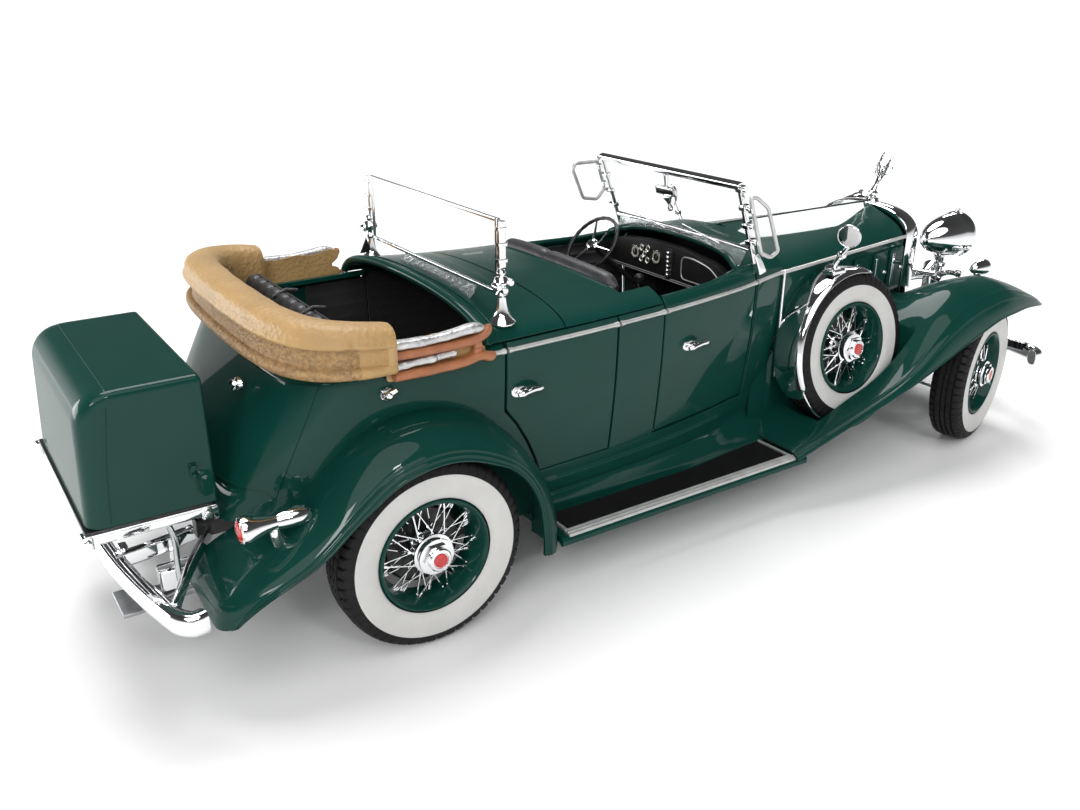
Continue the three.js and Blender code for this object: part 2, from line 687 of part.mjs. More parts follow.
// ---- folded top ----
function makeTopBoot() {
  const half = [[-109.8, 41.4], [-118, 40.8], [-125, 36.6], [-128.8, 27], [-130, 13]];
  const path = [...half.map(([x, y]) => [x, -y]), [-130.2, 0], ...half.slice().reverse()];
  const curve = new THREE.CatmullRomCurve3(path.map(([x, y]) => point(x, y, 0)));
  const section = [[-4.1, 0.8], [-4.4, 9.6], [-2.6, 12.6], [2.4, 12.9], [4.4, 10.6], [4.6, 1.6], [3.4, 0], [-3.2, 0]];
  const steps = 20;
  const rings = [];
  for (let i = 0; i <= steps; i += 1) {
    const t = i / steps;
    const middle = curve.getPointAt(t);
    const along = curve.getTangentAt(t);
    const out = point(along.y, -along.x, 0);
    const tall = 1 - 0.22 * Math.abs(2 * t - 1) ** 4;
    const foot = 67.9;
    rings.push(section.map(([u, h]) => point(middle.x + out.x * u, middle.y + out.y * u, foot + h * tall)));
  }
  return loft(rings);
}

function makeTopBows(side) {
  const outline = [[-109, 66.4], [-88, 64.9], [-85.8, 66.2], [-88.2, 68], [-95, 69.2], [-88.6, 69.4], [-87, 70.8],
    [-89, 72], [-109, 74.8]];
  return mirrored(sidePlate(outline, 41.6, 44.3), side);
}

// ---- trunk ----
function trunkForm(inset) {
  const foot = [[-173.4, 28.6], [-147, 28.6]];
  const head = [[-164.8, 27.4], [-147.7, 27.4]];
  const ring = ([[rear, y], [front]], z) => [
    point(rear + inset, -y + inset, z), point(front - inset, -y + inset, z),
    point(front - inset, y - inset, z), point(rear + inset, y - inset, z),
  ];
  return loft([ring(foot, 40.6 - inset), ring(head, 69.6 - inset)]);
}

function makeTrunkRack() {
  const tray = box(-173, -147.6, -26.6, 26.6, 38.7, 40.2);
  const rails = [1, -1].map((side) => box(-174.6, -147, side * 25.4 - 1, side * 25.4 + 1, 37, 39));
  const bars = [-173.2, -160, -148].map((x) => box(x - 1, x + 1, -25.5, 25.5, 37, 39));
  const struts = [1, -1].map((side) => box(-149.6, -147, side * railY - 1.5, side * railY + 1.5, railTop + gap, 38));
  return join(tray, ...rails, ...bars, ...struts);
}

// ---- lamps and bumpers ----
function makeHeadlight(side) {
  const bowl = turned([[0, 0], [2.2, 0.8], [5, 4.4], [7, 10], [7.85, 16.6], [7.4, 18.8], [0, 20.2]], 18);
  bowl.rotateZ(-Math.PI / 2).translate(103.8, side * 21, 66);
  return join(bowl, rod(point(112.4, side * 21, 52.4), point(112.8, side * 21, 60), 1.3, 1.6));
}

function makeLampBar() {
  const bar = rod(point(112, -21.8, 50.2), point(112, 21.8, 50.2), 1.2);
  const sides = [1, -1].flatMap((side) => [
    box(110.8, 113.2, side * railY - 1.2, side * railY + 1.2, railTop + gap, 50),
    rod(point(104, side * 11.5, 48.4), point(119, side * 11.5, 48.4), 1, 2.4),
    rod(point(119, side * 11.5, 48.4), point(122, side * 11.5, 48.4), 2.4, 4.4),
    rod(point(112, side * 21.4, 50.2), point(115, side * 29, 56.6), 0.8),
    rod(point(115, side * 29, 56.6), point(118.5, side * 32.4, 55.6), 0.8),
    ball(point(119, side * 32.4, 55.4), 2.7, 1.8),
  ]);
  return cut(join(bar, ...sides), frontFenderForm(1, gap + 0.1), frontFenderForm(-1, gap + 0.1));
}

function bumperBar(middle, bow, halfLength, z0, z1) {
  const forward = Math.sign(middle);
  const rings = [];
  const steps = 8;
  for (let i = 0; i <= steps; i += 1) {
    const y = mix(-halfLength, halfLength, i / steps);
    const face = middle - bow * (y / halfLength) ** 2;
    const back = face - forward * 1.7;
    rings.push([point(back, y, z0), point(face, y, z0 + 0.5), point(face, y, z1 - 0.5), point(back, y, z1)]);
  }
  return loft(rings);
}

function makeBumper({ middle, bow, halfLength, z, armFrom }) {
  const bars = [bumperBar(middle, bow, halfLength, z, z + 3), bumperBar(middle, bow, halfLength, z + 5.4, z + 8.4)];
  const forward = Math.sign(middle);
  const faceAt = (y) => middle - bow * (y / halfLength) ** 2;
  const posts = [-halfLength + 1.5, -railY, 0, railY, halfLength - 1.5].map((y) => {
    const x = faceAt(y) - forward * 1.4;
    return box(Math.min(x, x - forward * 1.5), Math.max(x, x - forward * 1.5), y - 1.4, y + 1.4, z + 0.5, z + 7.9);
  });
  const arms = [1, -1].map((side) => {
    const x = faceAt(railY) - forward * 2;
    return box(Math.min(x, armFrom), Math.max(x, armFrom), side * railY - 1.1, side * railY + 1.1, z + 4, z + 7.4);
  });
  return join(...bars, ...posts, ...arms);
}

function makeTailLight(side) {
  const lamp = turned([[0, 0], [2.7, 0.3], [3.1, 1.6], [2.2, 7], [1.2, 10.8], [0, 11.4]], 14);
  lamp.rotateZ(-Math.PI / 2).translate(-147, side * 43, 39.6);
  return join(lamp, box(-140, -138, side * 43 - 0.8, side * 43 + 0.8, 34.9, 39));
}

// ---- assembly ----
const car = new THREE.Group();
const placed = new THREE.Group();
placed.position.x = originShift;
car.add(placed);

function add(name, geometry, material, parent = placed) {
  const mesh = new THREE.Mesh(geometry, material);
  mesh.name = name;
  parent.add(mesh);
  return mesh;
}

add("chassis_frame", makeChassis(), blackChassis);
add("body_shell", makeBodyShell(), greenPaint);
add("dashboard", makeDashboard(), blackTrim);
add("front_seat", makeFrontSeat(), blackTrim);
add("rear_seat", makeRearSeat(), blackTrim);
add("engine", makeEngine(), greyMetal);
add("radiator_shell", makeRadiatorShell(), chrome);
add("radiator_core", makeRadiatorCore(), greyMetal);
add("mascot", makeMascot(), chrome);
add("front_axle", makeFrontAxle(), blackChassis);
add("rear_axle", makeRearAxle(), blackChassis);
add("lamp_bar", makeLampBar(), chrome);
add("front_bumper", makeBumper({ middle: 150.3, bow: 7, halfLength: 47, z: 20, armFrom: frameFront + gap }), chrome);
add("rear_bumper", makeBumper({ middle: -170, bow: -7, halfLength: 50, z: 23, armFrom: frameRear - gap }), chrome);
add("windshield_frame", makeWindshieldFrame(), chrome);
add("windshield_glass", makeWindshieldGlass(), clearGlass);
add("wind_wing_r", makeWindWing(-1, true), clearGlass);
add("wind_wing_l", makeWindWing(1, false), clearGlass);
add("top_boot", makeTopBoot(), tanVinyl);
add("trunk_rack", makeTrunkRack(), chrome);
add("trunk_cover", cut(trunkForm(0), trunkForm(1.4)), greenPaint);
add("tonneau_cowl", makeTonneauCowl(), greenPaint);
add("tonneau_windshield", makeTonneauWindshield(), chrome);
add("tonneau_glass", makeTonneauGlass(), clearGlass);
add("tie_rod", makeTieRod(), blackChassis);

const wheelAndColumn = add("steering_wheel", makeSteeringWheel(), blackTrim);
wheelAndColumn.position.set(-13, 16, 71);

[["r", -1], ["l", 1]].forEach(([hand, side]) => {
  add(`front_fender_${hand}`, makeFrontFender(side), greenPaint);
  add(`rear_fender_${hand}`, makeRearFender(side), greenPaint);
  add(`running_board_${hand}`, makeRunningBoard(side), blackTrim);
  add(`front_door_${hand}`, makeDoor(frontDoorOutline, side), greenPaint);
  add(`rear_door_${hand}`, makeDoor(rearDoorOutline, side), greenPaint);
  add(`hood_top_${hand}`, makeHoodTop(side), greenPaint);
  add(`hood_side_${hand}`, makeHoodSide(side), greenPaint);
  add(`headlight_${hand}`, makeHeadlight(side), chrome);
  add(`tail_light_${hand}`, makeTailLight(side), redLens);
  add(`top_bows_${hand}`, makeTopBows(side), woodBrown);

  const spare = new THREE.Group();
  spare.position.set(spareX, side * spareY, spareHeight);
  spare.rotation.x = side * spareLean;
  placed.add(spare);
  add(`spare_wheel_${hand}`, mirrored(makeSpareWheel(), side), tyreRubber, spare);
  add(`spare_cover_${hand}`, mirrored(makeSpareCover(), side), chrome, spare);

  const rear = new THREE.Group();
  rear.position.set(rearAxleX, side * rearTrack, axleHeight);
  placed.add(rear);
  add(`rear_wheel_${hand}`, mirrored(makeWheel(2), side), greenPaint, rear);
  add(`rear_tyre_${hand}`, makeTyre(), tyreRubber, rear);

  const steered = new THREE.Group();
  steered.position.set(frontAxleX, side * kingpinY, 0);
  steered.rotation.z = restSteer;
  placed.add(steered);
  add(`knuckle_${hand}`, makeKnuckle(side), blackChassis, steered);
  const hub = new THREE.Group();
  hub.position.set(0, side * (frontTrack - kingpinY), axleHeight);
  steered.add(hub);
  add(`front_wheel_${hand}`, mirrored(makeWheel(2), side), greenPaint, hub);
  add(`front_tyre_${hand}`, makeTyre(), tyreRubber, hub);
});

export default car;
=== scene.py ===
"""A 1:18 collector car, an open dual-cowl phaeton with its top folded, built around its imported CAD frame.

Shapes are drawn in millimetres in the drawing's frame: +X forward, +Y the car's left, Z = 0 the floor, and
X = 0 midway between the axles. Every piece is moved into the row frame, in metres, when it is finished.
"""
import math

import bmesh
import bpy
import numpy as np
from mathutils import Matrix, Vector


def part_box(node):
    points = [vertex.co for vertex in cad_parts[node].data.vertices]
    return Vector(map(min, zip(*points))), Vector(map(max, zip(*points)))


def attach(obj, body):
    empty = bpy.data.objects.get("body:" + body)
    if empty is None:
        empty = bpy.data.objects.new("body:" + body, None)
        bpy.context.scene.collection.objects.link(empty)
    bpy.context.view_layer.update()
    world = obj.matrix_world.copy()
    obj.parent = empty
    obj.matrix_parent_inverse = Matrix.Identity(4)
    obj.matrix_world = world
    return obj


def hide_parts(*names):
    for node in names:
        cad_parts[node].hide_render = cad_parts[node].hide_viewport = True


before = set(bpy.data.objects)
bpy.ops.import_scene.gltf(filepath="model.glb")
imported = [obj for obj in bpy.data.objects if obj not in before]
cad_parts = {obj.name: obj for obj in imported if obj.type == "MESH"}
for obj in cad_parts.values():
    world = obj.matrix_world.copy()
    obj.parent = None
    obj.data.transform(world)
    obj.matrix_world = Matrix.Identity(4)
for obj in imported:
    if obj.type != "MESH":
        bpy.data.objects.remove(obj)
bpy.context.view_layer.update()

MM = 0.001
ORIGIN_SHIFT = 12.2
SIDES = (("r", -1), ("l", 1))


# ---- curves ----
def mix(a, b, t):
    return a + (b - a) * t


def ease(t):
    t = np.clip(t, 0, 1)
    return t * t * (3 - 2 * t)


def spline(xs, table, x):
    """The table's columns at x, on smooth curves that never overshoot the given rows."""
    xs, ys = np.asarray(xs, float), np.asarray(table, float)
    if xs[0] > xs[-1]:
        xs, ys = xs[::-1], ys[::-1]
    single = ys.ndim == 1
    ys = ys.reshape(len(xs), -1)
    step = np.diff(xs)[:, None]
    slope = np.diff(ys, axis=0) / step
    same = slope[:-1] * slope[1:] > 0
    total = np.where(same, slope[:-1] + slope[1:], 1)
    tangent = np.vstack([slope[:1], np.where(same, 2 * slope[:-1] * slope[1:] / total, 0), slope[-1:]])
    x = np.asarray(x, float)
    i = np.clip(np.searchsorted(xs, x.ravel()) - 1, 0, len(xs) - 2)
    h = step[i]
    t = np.clip((x.reshape(-1, 1) - xs[i][:, None]) / h, 0, 1)
    out = (
        (1 + 2 * t) * (1 - t) ** 2 * ys[i]
        + t * (1 - t) ** 2 * h * tangent[i]
        + t * t * (3 - 2 * t) * ys[i + 1]
        - t * t * (1 - t) * h * tangent[i + 1]
    )
    return out.reshape(x.shape) if single else out.reshape(x.shape + (ys.shape[1],))


def flowing(points, count, closed=False):
    """Points evenly spaced on a smooth curve through the given ones."""
    p = np.asarray(points, float)
    if closed:
        p = np.vstack([p[-1:], p, p[:2]])
    else:
        p = np.vstack([2 * p[0] - p[1], p, 2 * p[-1] - p[-2]])
    dense = []
    for a, b, c, d in zip(p[:-3], p[1:-2], p[2:-1], p[3:]):
        t = np.linspace(0, 1, 24, endpoint=False)[:, None]
        dense.append(0.5 * (2 * b + (c - a) * t + (2 * a - 5 * b + 4 * c - d) * t**2
                            + (3 * b - a - 3 * c + d) * t**3))
    dense = np.vstack(dense + [p[-2:-1]])
    run = np.concatenate([[0], np.cumsum(np.linalg.norm(np.diff(dense, axis=0), axis=1))])
    at = np.linspace(0, run[-1], count, endpoint=not closed)
    return np.stack([np.interp(at, run, dense[:, k]) for k in range(dense.shape[1])], axis=1)


def oblong(half_wide, half_tall):
    return [(-half_wide, -half_tall), (half_wide, -half_tall), (half_wide, half_tall),
            (-half_wide, half_tall)]


def rounded(outline, radius, steps=4):
    """A closed 2-D outline with rounded corners; radius is one number, or one for each corner."""
    p = np.asarray(outline, float)
    n = len(p)
    radii = [radius] * n if np.isscalar(radius) else radius
    out = []
    for i in range(n):
        before, here, after = p[i - 1], p[i], p[(i + 1) % n]
        a, b = before - here, after - here
        r = min(radii[i], 0.49 * np.linalg.norm(a), 0.49 * np.linalg.norm(b))
        if r < 1e-4:
            out.append(here)
            continue
        start, end = here + a / np.linalg.norm(a) * r, here + b / np.linalg.norm(b) * r
        for t in np.linspace(0, 1, steps + 1):
            out.append((1 - t) ** 2 * start + 2 * t * (1 - t) * here + t * t * end)
    return np.array(out)


# ---- forms: (points, faces) ----
def weave(rows, wrap=False, caps=False, loop=False):
    """Quads over a grid of points [row][column]; wrap joins the columns' ends and loop the rows' ends."""
    rows = np.asarray(rows, float)
    n, m = rows.shape[:2]
    faces = []
    for r in range(n if loop else n - 1):
        for c in range(m if wrap else m - 1):
            a, b = r * m + c, r * m + (c + 1) % m
            up = ((r + 1) % n - r) * m
            faces.append((a, b, b + up, a + up))
    if caps:
        faces += [tuple(range(m))[::-1], tuple(range((n - 1) * m, n * m))]
    return rows.reshape(-1, 3), faces


def normals(rows, inside):
    across = np.cross(np.gradient(rows, axis=0), np.gradient(rows, axis=1))
    across /= np.linalg.norm(across, axis=2, keepdims=True) + 1e-12
    way = np.sum(across * (np.asarray(inside, float) - rows), axis=2)
    return across if np.sum(way) > 0 else -across


def panel(rows, thick, inside, raised=0.0, keep=None):
    """A closed sheet whose outer face is the grid, or only its kept cells; the inner face lies inside."""
    rows = np.asarray(rows, float)
    n, m = rows.shape[:2]
    down = normals(rows, inside)
    points = np.vstack([(rows - down * raised).reshape(-1, 3), (rows + down * thick).reshape(-1, 3)])
    keep = np.ones((n - 1, m - 1), bool) if keep is None else np.asarray(keep)
    k = n * m
    faces = []
    for r, c in np.argwhere(keep):
        a, b, d, e = r * m + c, r * m + c + 1, (r + 1) * m + c + 1, (r + 1) * m + c
        faces += [(a, b, d, e), (k + a, k + e, k + d, k + b)]
        edges = ((a, b, r - 1, c), (b, d, r, c + 1), (d, e, r + 1, c), (e, a, r, c - 1))
        for p, q, row, column in edges:
            if not (0 <= row < n - 1 and 0 <= column < m - 1 and keep[row, column]):
                faces.append((p, p + k, q + k, q))
    used = sorted({i for f in faces for i in f})
    index = {old: new for new, old in enumerate(used)}
    return points[used], [tuple(index[i] for i in f) for f in faces]


def carried(path, section, closed=False, up=(0, 0, 1), size=None):
    """A closed section of (sideways, upward) offsets carried along a path, with capped ends."""
    path = np.asarray(path, float)
    section = np.asarray(section, float)
    along = np.gradient(path, axis=0)
    if closed:
        along = np.roll(path, -1, axis=0) - np.roll(path, 1, axis=0)
    along /= np.linalg.norm(along, axis=1, keepdims=True)
    side = np.cross(along, np.asarray(up, float))
    side /= np.linalg.norm(side, axis=1, keepdims=True)
    top = np.cross(side, along)
    size = np.ones(len(path)) if size is None else np.asarray(size, float)
    rows = [p + section[:, :1] * k * s + section[:, 1:] * k * t for p, s, t, k in zip(path, side, top, size)]
    return weave(rows, wrap=True, caps=not closed, loop=closed)


def circle(radius, sides=12, flat=1.0):
    a = np.arange(sides) * 2 * math.pi / sides
    return np.stack([radius * np.cos(a), radius * flat * np.sin(a)], axis=1)


def tube(path, radius, sides=12, closed=False, flat=1.0):
    """A round bar along a path; radius may be one number or one for each point. Its frame never twists."""
    path = np.asarray(path, float)
    along = np.roll(path, -1, axis=0) - np.roll(path, 1, axis=0) if closed else np.gradient(path, axis=0)
    along /= np.linalg.norm(along, axis=1, keepdims=True)
    start = np.eye(3)[np.argmin(np.abs(along[0]))]
    side = np.cross(along[0], start)
    sides_at = []
    for a in along:
        side = side - a * np.dot(side, a)
        side = side / np.linalg.norm(side)
        sides_at.append(side)
    radius = np.broadcast_to(np.asarray(radius, float), (len(path),))
    ring = circle(1, sides, flat)
    rows = [p + r * (ring[:, :1] * s + ring[:, 1:] * np.cross(a, s))
            for p, r, s, a in zip(path, radius, sides_at, along)]
    return weave(rows, wrap=True, caps=not closed, loop=closed)


def taper(points, count, first, last, sides):
    """A round rod on a smooth curve, whose radius runs from first to last."""
    return tube(flowing(points, count), np.linspace(first, last, count), sides)


def turned(profile, sides=48, ripple=None):
    """A profile of (radius, height) turned about Y; ripple(step, profile row) adds to the radius."""
    profile = np.asarray(profile, float)
    poles = [i for i in (0, -1) if profile[i][0] < 1e-6]
    body = profile[(1 if 0 in poles else 0) : (-1 if -1 in poles else None)]
    angle = np.arange(sides) * 2 * math.pi / sides
    radius = np.repeat(body[:, :1], sides, axis=1)
    if ripple is not None:
        radius = radius + ripple(*np.meshgrid(np.arange(sides), np.arange(len(body))))
    rows = np.stack([radius * np.cos(angle), np.repeat(body[:, 1:], sides, axis=1),
                     radius * np.sin(angle)], axis=2)
    points, faces = weave(rows, wrap=True)
    m = len(body)
    if 0 in poles:
        points = np.vstack([points, [0, profile[0][1], 0]])
        faces += [(len(points) - 1, (c + 1) % sides, c) for c in range(sides)]
    if -1 in poles:
        points = np.vstack([points, [0, profile[-1][1], 0]])
        last = (m - 1) * sides
        faces += [(len(points) - 1, last + c, last + (c + 1) % sides) for c in range(sides)]
    if not poles:
        faces += [((m - 1) * sides + c, (m - 1) * sides + (c + 1) % sides, (c + 1) % sides, c)
                  for c in range(sides)]
    return points, faces


def prism(outline, low, high, axis="z"):
    """A closed plate: the outline is (x, y) for axis z, (x, z) for axis y and (y, z) for axis x."""
    outline = np.asarray(outline, float)
    order = {"z": (0, 1, 2), "y": (0, 2, 1), "x": (1, 2, 0)}[axis]
    rows = np.zeros((2, len(outline), 3))
    rows[:, :, order[0]] = outline[:, 0]
    rows[:, :, order[1]] = outline[:, 1]
    rows[0, :, order[2]] = low
    rows[1, :, order[2]] = high
    return weave(rows, wrap=True, caps=True)


def bar(x0, x1, y0, y1, z0, z1, radius=0.4):
    """A plate with its upright corners rounded; the bevel on its piece rounds the rest."""
    return prism(rounded([(x0, y0), (x1, y0), (x1, y1), (x0, y1)], radius, 3), z0, z1)


def block(x, y, half_x, half_y, z0, z1, radius=0.4):
    """A bar about the upright line through (x, y)."""
    return bar(x - half_x, x + half_x, y - half_y, y + half_y, z0, z1, radius)


def placed(form, matrix):
    points, faces = form
    m = np.array(matrix, float)
    return points @ m[:3, :3].T + m[:3, 3], faces


def moved(form, x=0.0, y=0.0, z=0.0):
    return form[0] + (x, y, z), form[1]


def spun(form, axis, degrees):
    return placed(form, Matrix.Rotation(math.radians(degrees), 4, axis))


def scaled(form, by):
    return form[0] * by, form[1]


def sided(form, side):
    """The form itself on the left, and its mirror image on the right."""
    return form[0] * (1, side, 1), form[1]


# ---- pieces ----
class Piece:
    """Forms gathered into one object, with a material for each form."""

    def __init__(self, name, body, slot, stands_for=(), edge=0.0, sharp=34):
        self.name, self.body, self.slot, self.stands_for = name, body, slot, stands_for
        self.edge, self.sharp = edge, sharp
        self.points, self.faces, self.finishes, self.owner = [], [], [], []
        self.count = 0

    def add(self, form, finish, pick=None):
        """pick(face centres) gives a second finish's faces: it returns (mask, finish)."""
        points, faces = form
        if finish not in self.finishes:
            self.finishes.append(finish)
        owner = np.full(len(faces), self.finishes.index(finish))
        if pick is not None:
            mask, other = pick(np.array([points[list(f)].mean(axis=0) for f in faces]))
            if other not in self.finishes:
                self.finishes.append(other)
            owner[mask] = self.finishes.index(other)
        self.points.append(points)
        self.faces += [tuple(i + self.count for i in f) for f in faces]
        self.owner += list(owner)
        self.count += len(points)
        return self

    def done(self):
        points = (np.vstack(self.points) + (ORIGIN_SHIFT, 0, 0)) * MM
        mesh = bpy.data.meshes.new(self.name)
        mesh.from_pydata(points.tolist(), [], self.faces)
        for finish in self.finishes:
            mesh.materials.append(finish)
        mesh.polygons.foreach_set("material_index", self.owner)
        work = bmesh.new()
        work.from_mesh(mesh)
        bmesh.ops.dissolve_degenerate(work, dist=1e-7, edges=work.edges)
        bmesh.ops.recalc_face_normals(work, faces=work.faces)
        work.to_mesh(mesh)
        work.free()
        mesh.polygons.foreach_set("use_smooth", [True] * len(mesh.polygons))
        mesh.set_sharp_from_angle(angle=math.radians(self.sharp))
        piece = bpy.data.objects.new(self.name, mesh)
        bpy.context.scene.collection.objects.link(piece)
        if self.edge:
            bevel = piece.modifiers.new("edges", "BEVEL")
            bevel.width = self.edge * MM
            bevel.segments = 2
            bevel.limit_method = "ANGLE"
            bevel.angle_limit = math.radians(self.sharp)
            flats = piece.modifiers.new("flats", "WEIGHTED_NORMAL")
            flats.keep_sharp = True
        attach(piece, self.body)
        if self.stands_for:
            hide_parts(*self.stands_for)
        return piece


def build(forms, *named, **looks):
    """A finished piece from a list of (form, finish)."""
    made = Piece(*named, **looks)
    for form, finish in forms:
        made.add(form, finish)
    return made.done()


# ---- materials ----
def material(name, color, rough, metal=0.0, coat=0.0, coat_rough=0.03, tint=0.0, tint_size=8.0, grain=0.0,
             grain_size=0.4, cells=False, rough_spread=0.0, transmission=0.0, ior=1.5, sheen=0.0, shine=0.5):
    """A shader whose colour, roughness and relief vary; sizes are in millimetres."""
    made = bpy.data.materials.new(name)
    made.use_nodes = True
    tree = made.node_tree
    shader = tree.nodes["Principled BSDF"]
    shader.inputs["Base Color"].default_value = (*color, 1)
    shader.inputs["Roughness"].default_value = rough
    shader.inputs["Metallic"].default_value = metal
    shader.inputs["Coat Weight"].default_value = coat
    shader.inputs["Coat Roughness"].default_value = coat_rough
    shader.inputs["Transmission Weight"].default_value = transmission
    shader.inputs["IOR"].default_value = ior
    shader.inputs["Sheen Weight"].default_value = sheen
    shader.inputs["Specular IOR Level"].default_value = shine
    where = tree.nodes.new("ShaderNodeTexCoord")

    def noise(size, detail=3.0):
        node = tree.nodes.new("ShaderNodeTexNoise")
        node.inputs["Scale"].default_value = 1 / (size * MM)
        node.inputs["Detail"].default_value = detail
        tree.links.new(where.outputs["Object"], node.inputs["Vector"])
        return node.outputs["Fac"]

    if tint:
        ramp = tree.nodes.new("ShaderNodeValToRGB")
        ramp.color_ramp.elements[0].position = 0.3
        ramp.color_ramp.elements[1].position = 0.7
        ramp.color_ramp.elements[0].color = (*[c * (1 - tint) for c in color], 1)
        ramp.color_ramp.elements[1].color = (*[min(1, c * (1 + tint)) for c in color], 1)
        tree.links.new(noise(tint_size), ramp.inputs["Fac"])
        tree.links.new(ramp.outputs["Color"], shader.inputs["Base Color"])
    if rough_spread:
        span = tree.nodes.new("ShaderNodeMapRange")
        span.inputs["To Min"].default_value = max(0, rough - rough_spread)
        span.inputs["To Max"].default_value = rough + rough_spread
        tree.links.new(noise(5.0, 4.0), span.inputs["Value"])
        tree.links.new(span.outputs["Result"], shader.inputs["Roughness"])
    if grain:
        if cells:
            node = tree.nodes.new("ShaderNodeTexVoronoi")
            node.inputs["Scale"].default_value = 1 / (grain_size * MM)
            tree.links.new(where.outputs["Object"], node.inputs["Vector"])
            height = node.outputs["Distance"]
        else:
            height = noise(grain_size, 5.0)
        bump = tree.nodes.new("ShaderNodeBump")
        bump.inputs["Strength"].default_value = 1.0
        bump.inputs["Distance"].default_value = grain * MM
        tree.links.new(height, bump.inputs["Height"])
        tree.links.new(bump.outputs["Normal"], shader.inputs["Normal"])
    return made


GREEN = material("green_paint", (0.003, 0.041, 0.031), 0.5, coat=0.4, coat_rough=0.015, tint=0.05,
                 tint_size=14, grain=0.003, grain_size=1.8, shine=0.04)
CHROME = material("bright_chrome", (0.82, 0.83, 0.84), 0.06, metal=1.0, grain=0.006, grain_size=1.4,
                  rough_spread=0.03)
SATIN = material("satin_silver", (0.6, 0.6, 0.59), 0.38, metal=0.55, tint=0.1, tint_size=3, grain=0.01,
                 grain_size=0.3)
STEEL = material("grey_steel", (0.33, 0.34, 0.35), 0.38, metal=1.0, tint=0.18, tint_size=4, grain=0.015,
                 grain_size=0.4)
BLACK = material("black_moulding", (0.012, 0.012, 0.013), 0.32, tint=0.3, tint_size=5, grain=0.012,
                 grain_size=0.5)
CHASSIS = material("black_chassis", (0.013, 0.013, 0.014), 0.45, tint=0.3, tint_size=6, grain=0.02,
                   grain_size=0.6)
LEATHER = material("black_leather", (0.02, 0.02, 0.022), 0.46, tint=0.3, tint_size=4, grain=0.05,
                   grain_size=0.5, cells=True)
CARPET = material("black_carpet", (0.012, 0.012, 0.012), 0.95, tint=0.5, tint_size=0.5, grain=0.12,
                  grain_size=0.25, sheen=0.2)
RUBBER = material("tyre_rubber", (0.007, 0.007, 0.0075), 0.6, tint=0.25, tint_size=5, grain=0.03,
                  grain_size=0.35, shine=0.22)
MAT = material("ribbed_mat", (0.004, 0.004, 0.0045), 0.5, tint=0.3, tint_size=3, grain=0.02,
               grain_size=0.3, shine=0.2)
WHITE = material("white_sidewall", (0.56, 0.555, 0.54), 0.42, tint=0.04, tint_size=6, grain=0.012,
                 grain_size=0.6)
WOOD = material("brown_bow", (0.34, 0.125, 0.052), 0.4, tint=0.14, tint_size=2.5, grain=0.03, grain_size=0.5)
LENS_RED = material("red_lens", (0.55, 0.01, 0.006), 0.08, coat=1.0, tint=0.2, tint_size=1, grain=0.05,
                    grain_size=0.8)
ENAMEL = material("red_enamel", (0.5, 0.015, 0.015), 0.2, coat=0.6, tint=0.2, tint_size=0.8)
GLASS = material("clear_glass", (0.97, 0.985, 0.98), 0.02, transmission=1.0, ior=1.3, grain=0.0008,
                 grain_size=6)
MOULDED = material("moulded_clear", (0.9, 0.94, 0.94), 0.08, transmission=0.9, ior=1.45, grain=0.3,
                   grain_size=1.2)
DIAL = material("dial_cream", (0.6, 0.56, 0.42), 0.4, tint=0.1, tint_size=0.5)
MIRROR = material("mirror_face", (0.9, 0.9, 0.9), 0.02, metal=1.0, rough_spread=0.01)
DARK = material("shadowed_core", (0.006, 0.006, 0.006), 0.7, tint=0.4, tint_size=2, grain=0.05,
                grain_size=0.5)

# ---- camera, floor and light ----
scene = bpy.context.scene
scene.view_settings.view_transform = "Standard"

CAMERA_AT = (-0.18311, -0.22681, 0.14349)
CAMERA_YAW, CAMERA_PITCH, CAMERA_ROLL = (math.radians(a) for a in (33.891, 22.645, 0.272))
LENS_MM = 33.08

ahead = Vector((
    math.sin(CAMERA_YAW) * math.cos(CAMERA_PITCH),
    math.cos(CAMERA_YAW) * math.cos(CAMERA_PITCH),
    -math.sin(CAMERA_PITCH),
))
level = Vector((math.cos(CAMERA_YAW), -math.sin(CAMERA_YAW), 0))
upright = level.cross(ahead)
right = math.cos(CAMERA_ROLL) * level + math.sin(CAMERA_ROLL) * upright
top = -math.sin(CAMERA_ROLL) * level + math.cos(CAMERA_ROLL) * upright
lens = bpy.data.cameras.new("camera")
lens.lens = LENS_MM
lens.clip_start = 0.01
camera = bpy.data.objects.new("camera", lens)
turn = Matrix((right, top, -ahead)).transposed().to_4x4()
camera.matrix_world = Matrix.Translation(CAMERA_AT) @ turn
scene.collection.objects.link(camera)
scene.camera = camera


def add_floor():
    half = 3.0
    mesh = bpy.data.meshes.new("floor")
    mesh.from_pydata([(-half, -half, 0), (half, -half, 0), (half, half, 0), (-half, half, 0)], [],
                     [(0, 1, 2, 3)])
    mesh.materials.append(material("floor_paper", (0.9, 0.9, 0.9), 0.8, tint=0.006, tint_size=60))
    floor = bpy.data.objects.new("floor", mesh)
    scene.collection.objects.link(floor)


def add_softbox(name, place, aim, size, watts):
    light = bpy.data.lights.new(name, "AREA")
    light.shape = "RECTANGLE"
    light.size, light.size_y = size
    light.energy = watts
    lamp = bpy.data.objects.new(name, light)
    lamp.location = place
    lamp.rotation_euler = (Vector(aim) - Vector(place)).to_track_quat("-Z", "Y").to_euler()
    scene.collection.objects.link(lamp)


